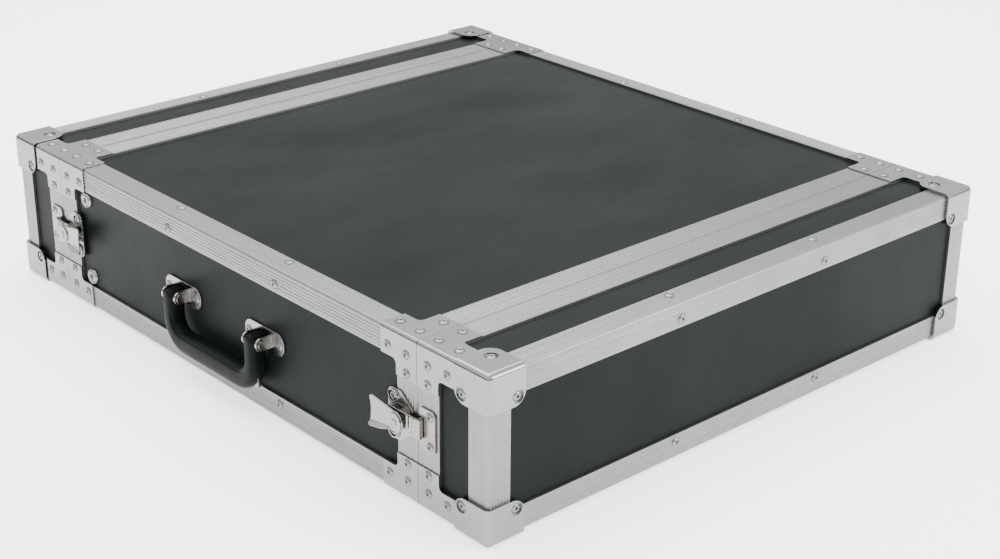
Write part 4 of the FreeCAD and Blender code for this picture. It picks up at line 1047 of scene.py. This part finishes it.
class RACKCASE_OT_studio(bpy.types.Operator):
    """Pale floor, soft light and the camera"""

    bl_idname = "rackcase.studio"
    bl_label = "Studio"

    def execute(self, context):
        look = context.scene.rack_case_studio
        reach = FLOOR_REACH
        floor_points = [(-reach, -reach, 0), (reach, -reach, 0), (reach, reach, 0),
                        (-reach, reach, 0)]
        mesh = bpy.data.meshes.new("studio_floor")
        mesh.from_pydata(floor_points, [], [(0, 1, 2, 3)])
        floor = link_mesh("studio_floor", mesh)
        floor.data.materials.append(bpy.data.materials["studio_paper"])

        world = bpy.data.worlds.new("studio_world")
        world.use_nodes = True
        sky = world.node_tree.nodes["Background"]
        sky_tree = world.node_tree
        place = add(sky_tree, "ShaderNodeTexCoord")
        split = add(sky_tree, "ShaderNodeSeparateXYZ")
        sky_tree.links.new(place.outputs["Object"], split.inputs["Vector"])
        height = remap(sky_tree, split.outputs["Z"], HORIZON_END, SKY_START)
        dome = blend_colours(sky_tree, height, tuple(look.horizon), tuple(look.sky))
        sky_tree.links.new(dome, sky.inputs["Color"])
        sky.inputs["Strength"].default_value = look.sky_strength
        context.scene.world = world
        for soft_box in SOFT_BOXES:
            area_light(*soft_box)

        turn = look.azimuth
        rise = look.elevation
        forward = Vector((math.sin(turn) * math.cos(rise), math.cos(turn) * math.cos(rise),
                          -math.sin(rise)))
        camera_data = bpy.data.cameras.new("studio_camera")
        camera_data.lens = look.lens
        camera_data.sensor_width = 36.0
        camera_data.clip_start = 0.05
        camera_data.clip_end = 100.0
        camera = bpy.data.objects.new("studio_camera", camera_data)
        camera.location = Vector(look.look_at) - forward * look.distance
        facing = forward.to_track_quat("-Z", "Y")
        tilt = Euler((0, 0, look.roll)).to_quaternion()
        camera.rotation_euler = (facing @ tilt).to_euler()
        context.scene.collection.objects.link(camera)
        context.scene.camera = camera
        return {"FINISHED"}


# --- panel and registration -------------------------------------------------------------------

STEPS = ("finishes", "panels", "extrusions", "caps_and_braces", "rivets", "rack_strips",
         "handle", "latches", "studio")


class RACKCASE_PT_sidebar(bpy.types.Panel):
    """Sizes, colours and the steps in order"""

    bl_label = "Rack Case"
    bl_idname = "RACKCASE_PT_sidebar"
    bl_space_type = "VIEW_3D"
    bl_region_type = "UI"
    bl_category = "Rack Case"

    def draw(self, context):
        column = self.layout.column()
        for group in (context.scene.rack_case_finish, context.scene.rack_case_studio):
            for name in group.bl_rna.properties.keys():
                if name not in ("rna_type", "name"):
                    column.prop(group, name)
        for step in STEPS:
            column.operator(f"rackcase.{step}")


CLASSES = (
    RackCaseFinish, RackCaseStudio, RACKCASE_OT_finishes, RACKCASE_OT_panels,
    RACKCASE_OT_extrusions, RACKCASE_OT_caps_and_braces, RACKCASE_OT_rivets,
    RACKCASE_OT_rack_strips, RACKCASE_OT_handle, RACKCASE_OT_latches, RACKCASE_OT_studio,
    RACKCASE_PT_sidebar,
)


def register():
    """Register the classes and hang the property groups on the scene."""
    for item in CLASSES:
        bpy.utils.register_class(item)
    bpy.types.Scene.rack_case_finish = PointerProperty(type=RackCaseFinish)
    bpy.types.Scene.rack_case_studio = PointerProperty(type=RackCaseStudio)


def unregister():
    """Take the property groups and classes away again."""
    del bpy.types.Scene.rack_case_studio
    del bpy.types.Scene.rack_case_finish
    for item in reversed(CLASSES):
        bpy.utils.unregister_class(item)


def main():
    """Build everything in order."""
    register()
    for step in STEPS:
        getattr(bpy.ops.rackcase, step)()


if __name__ == "__main__":
    main()
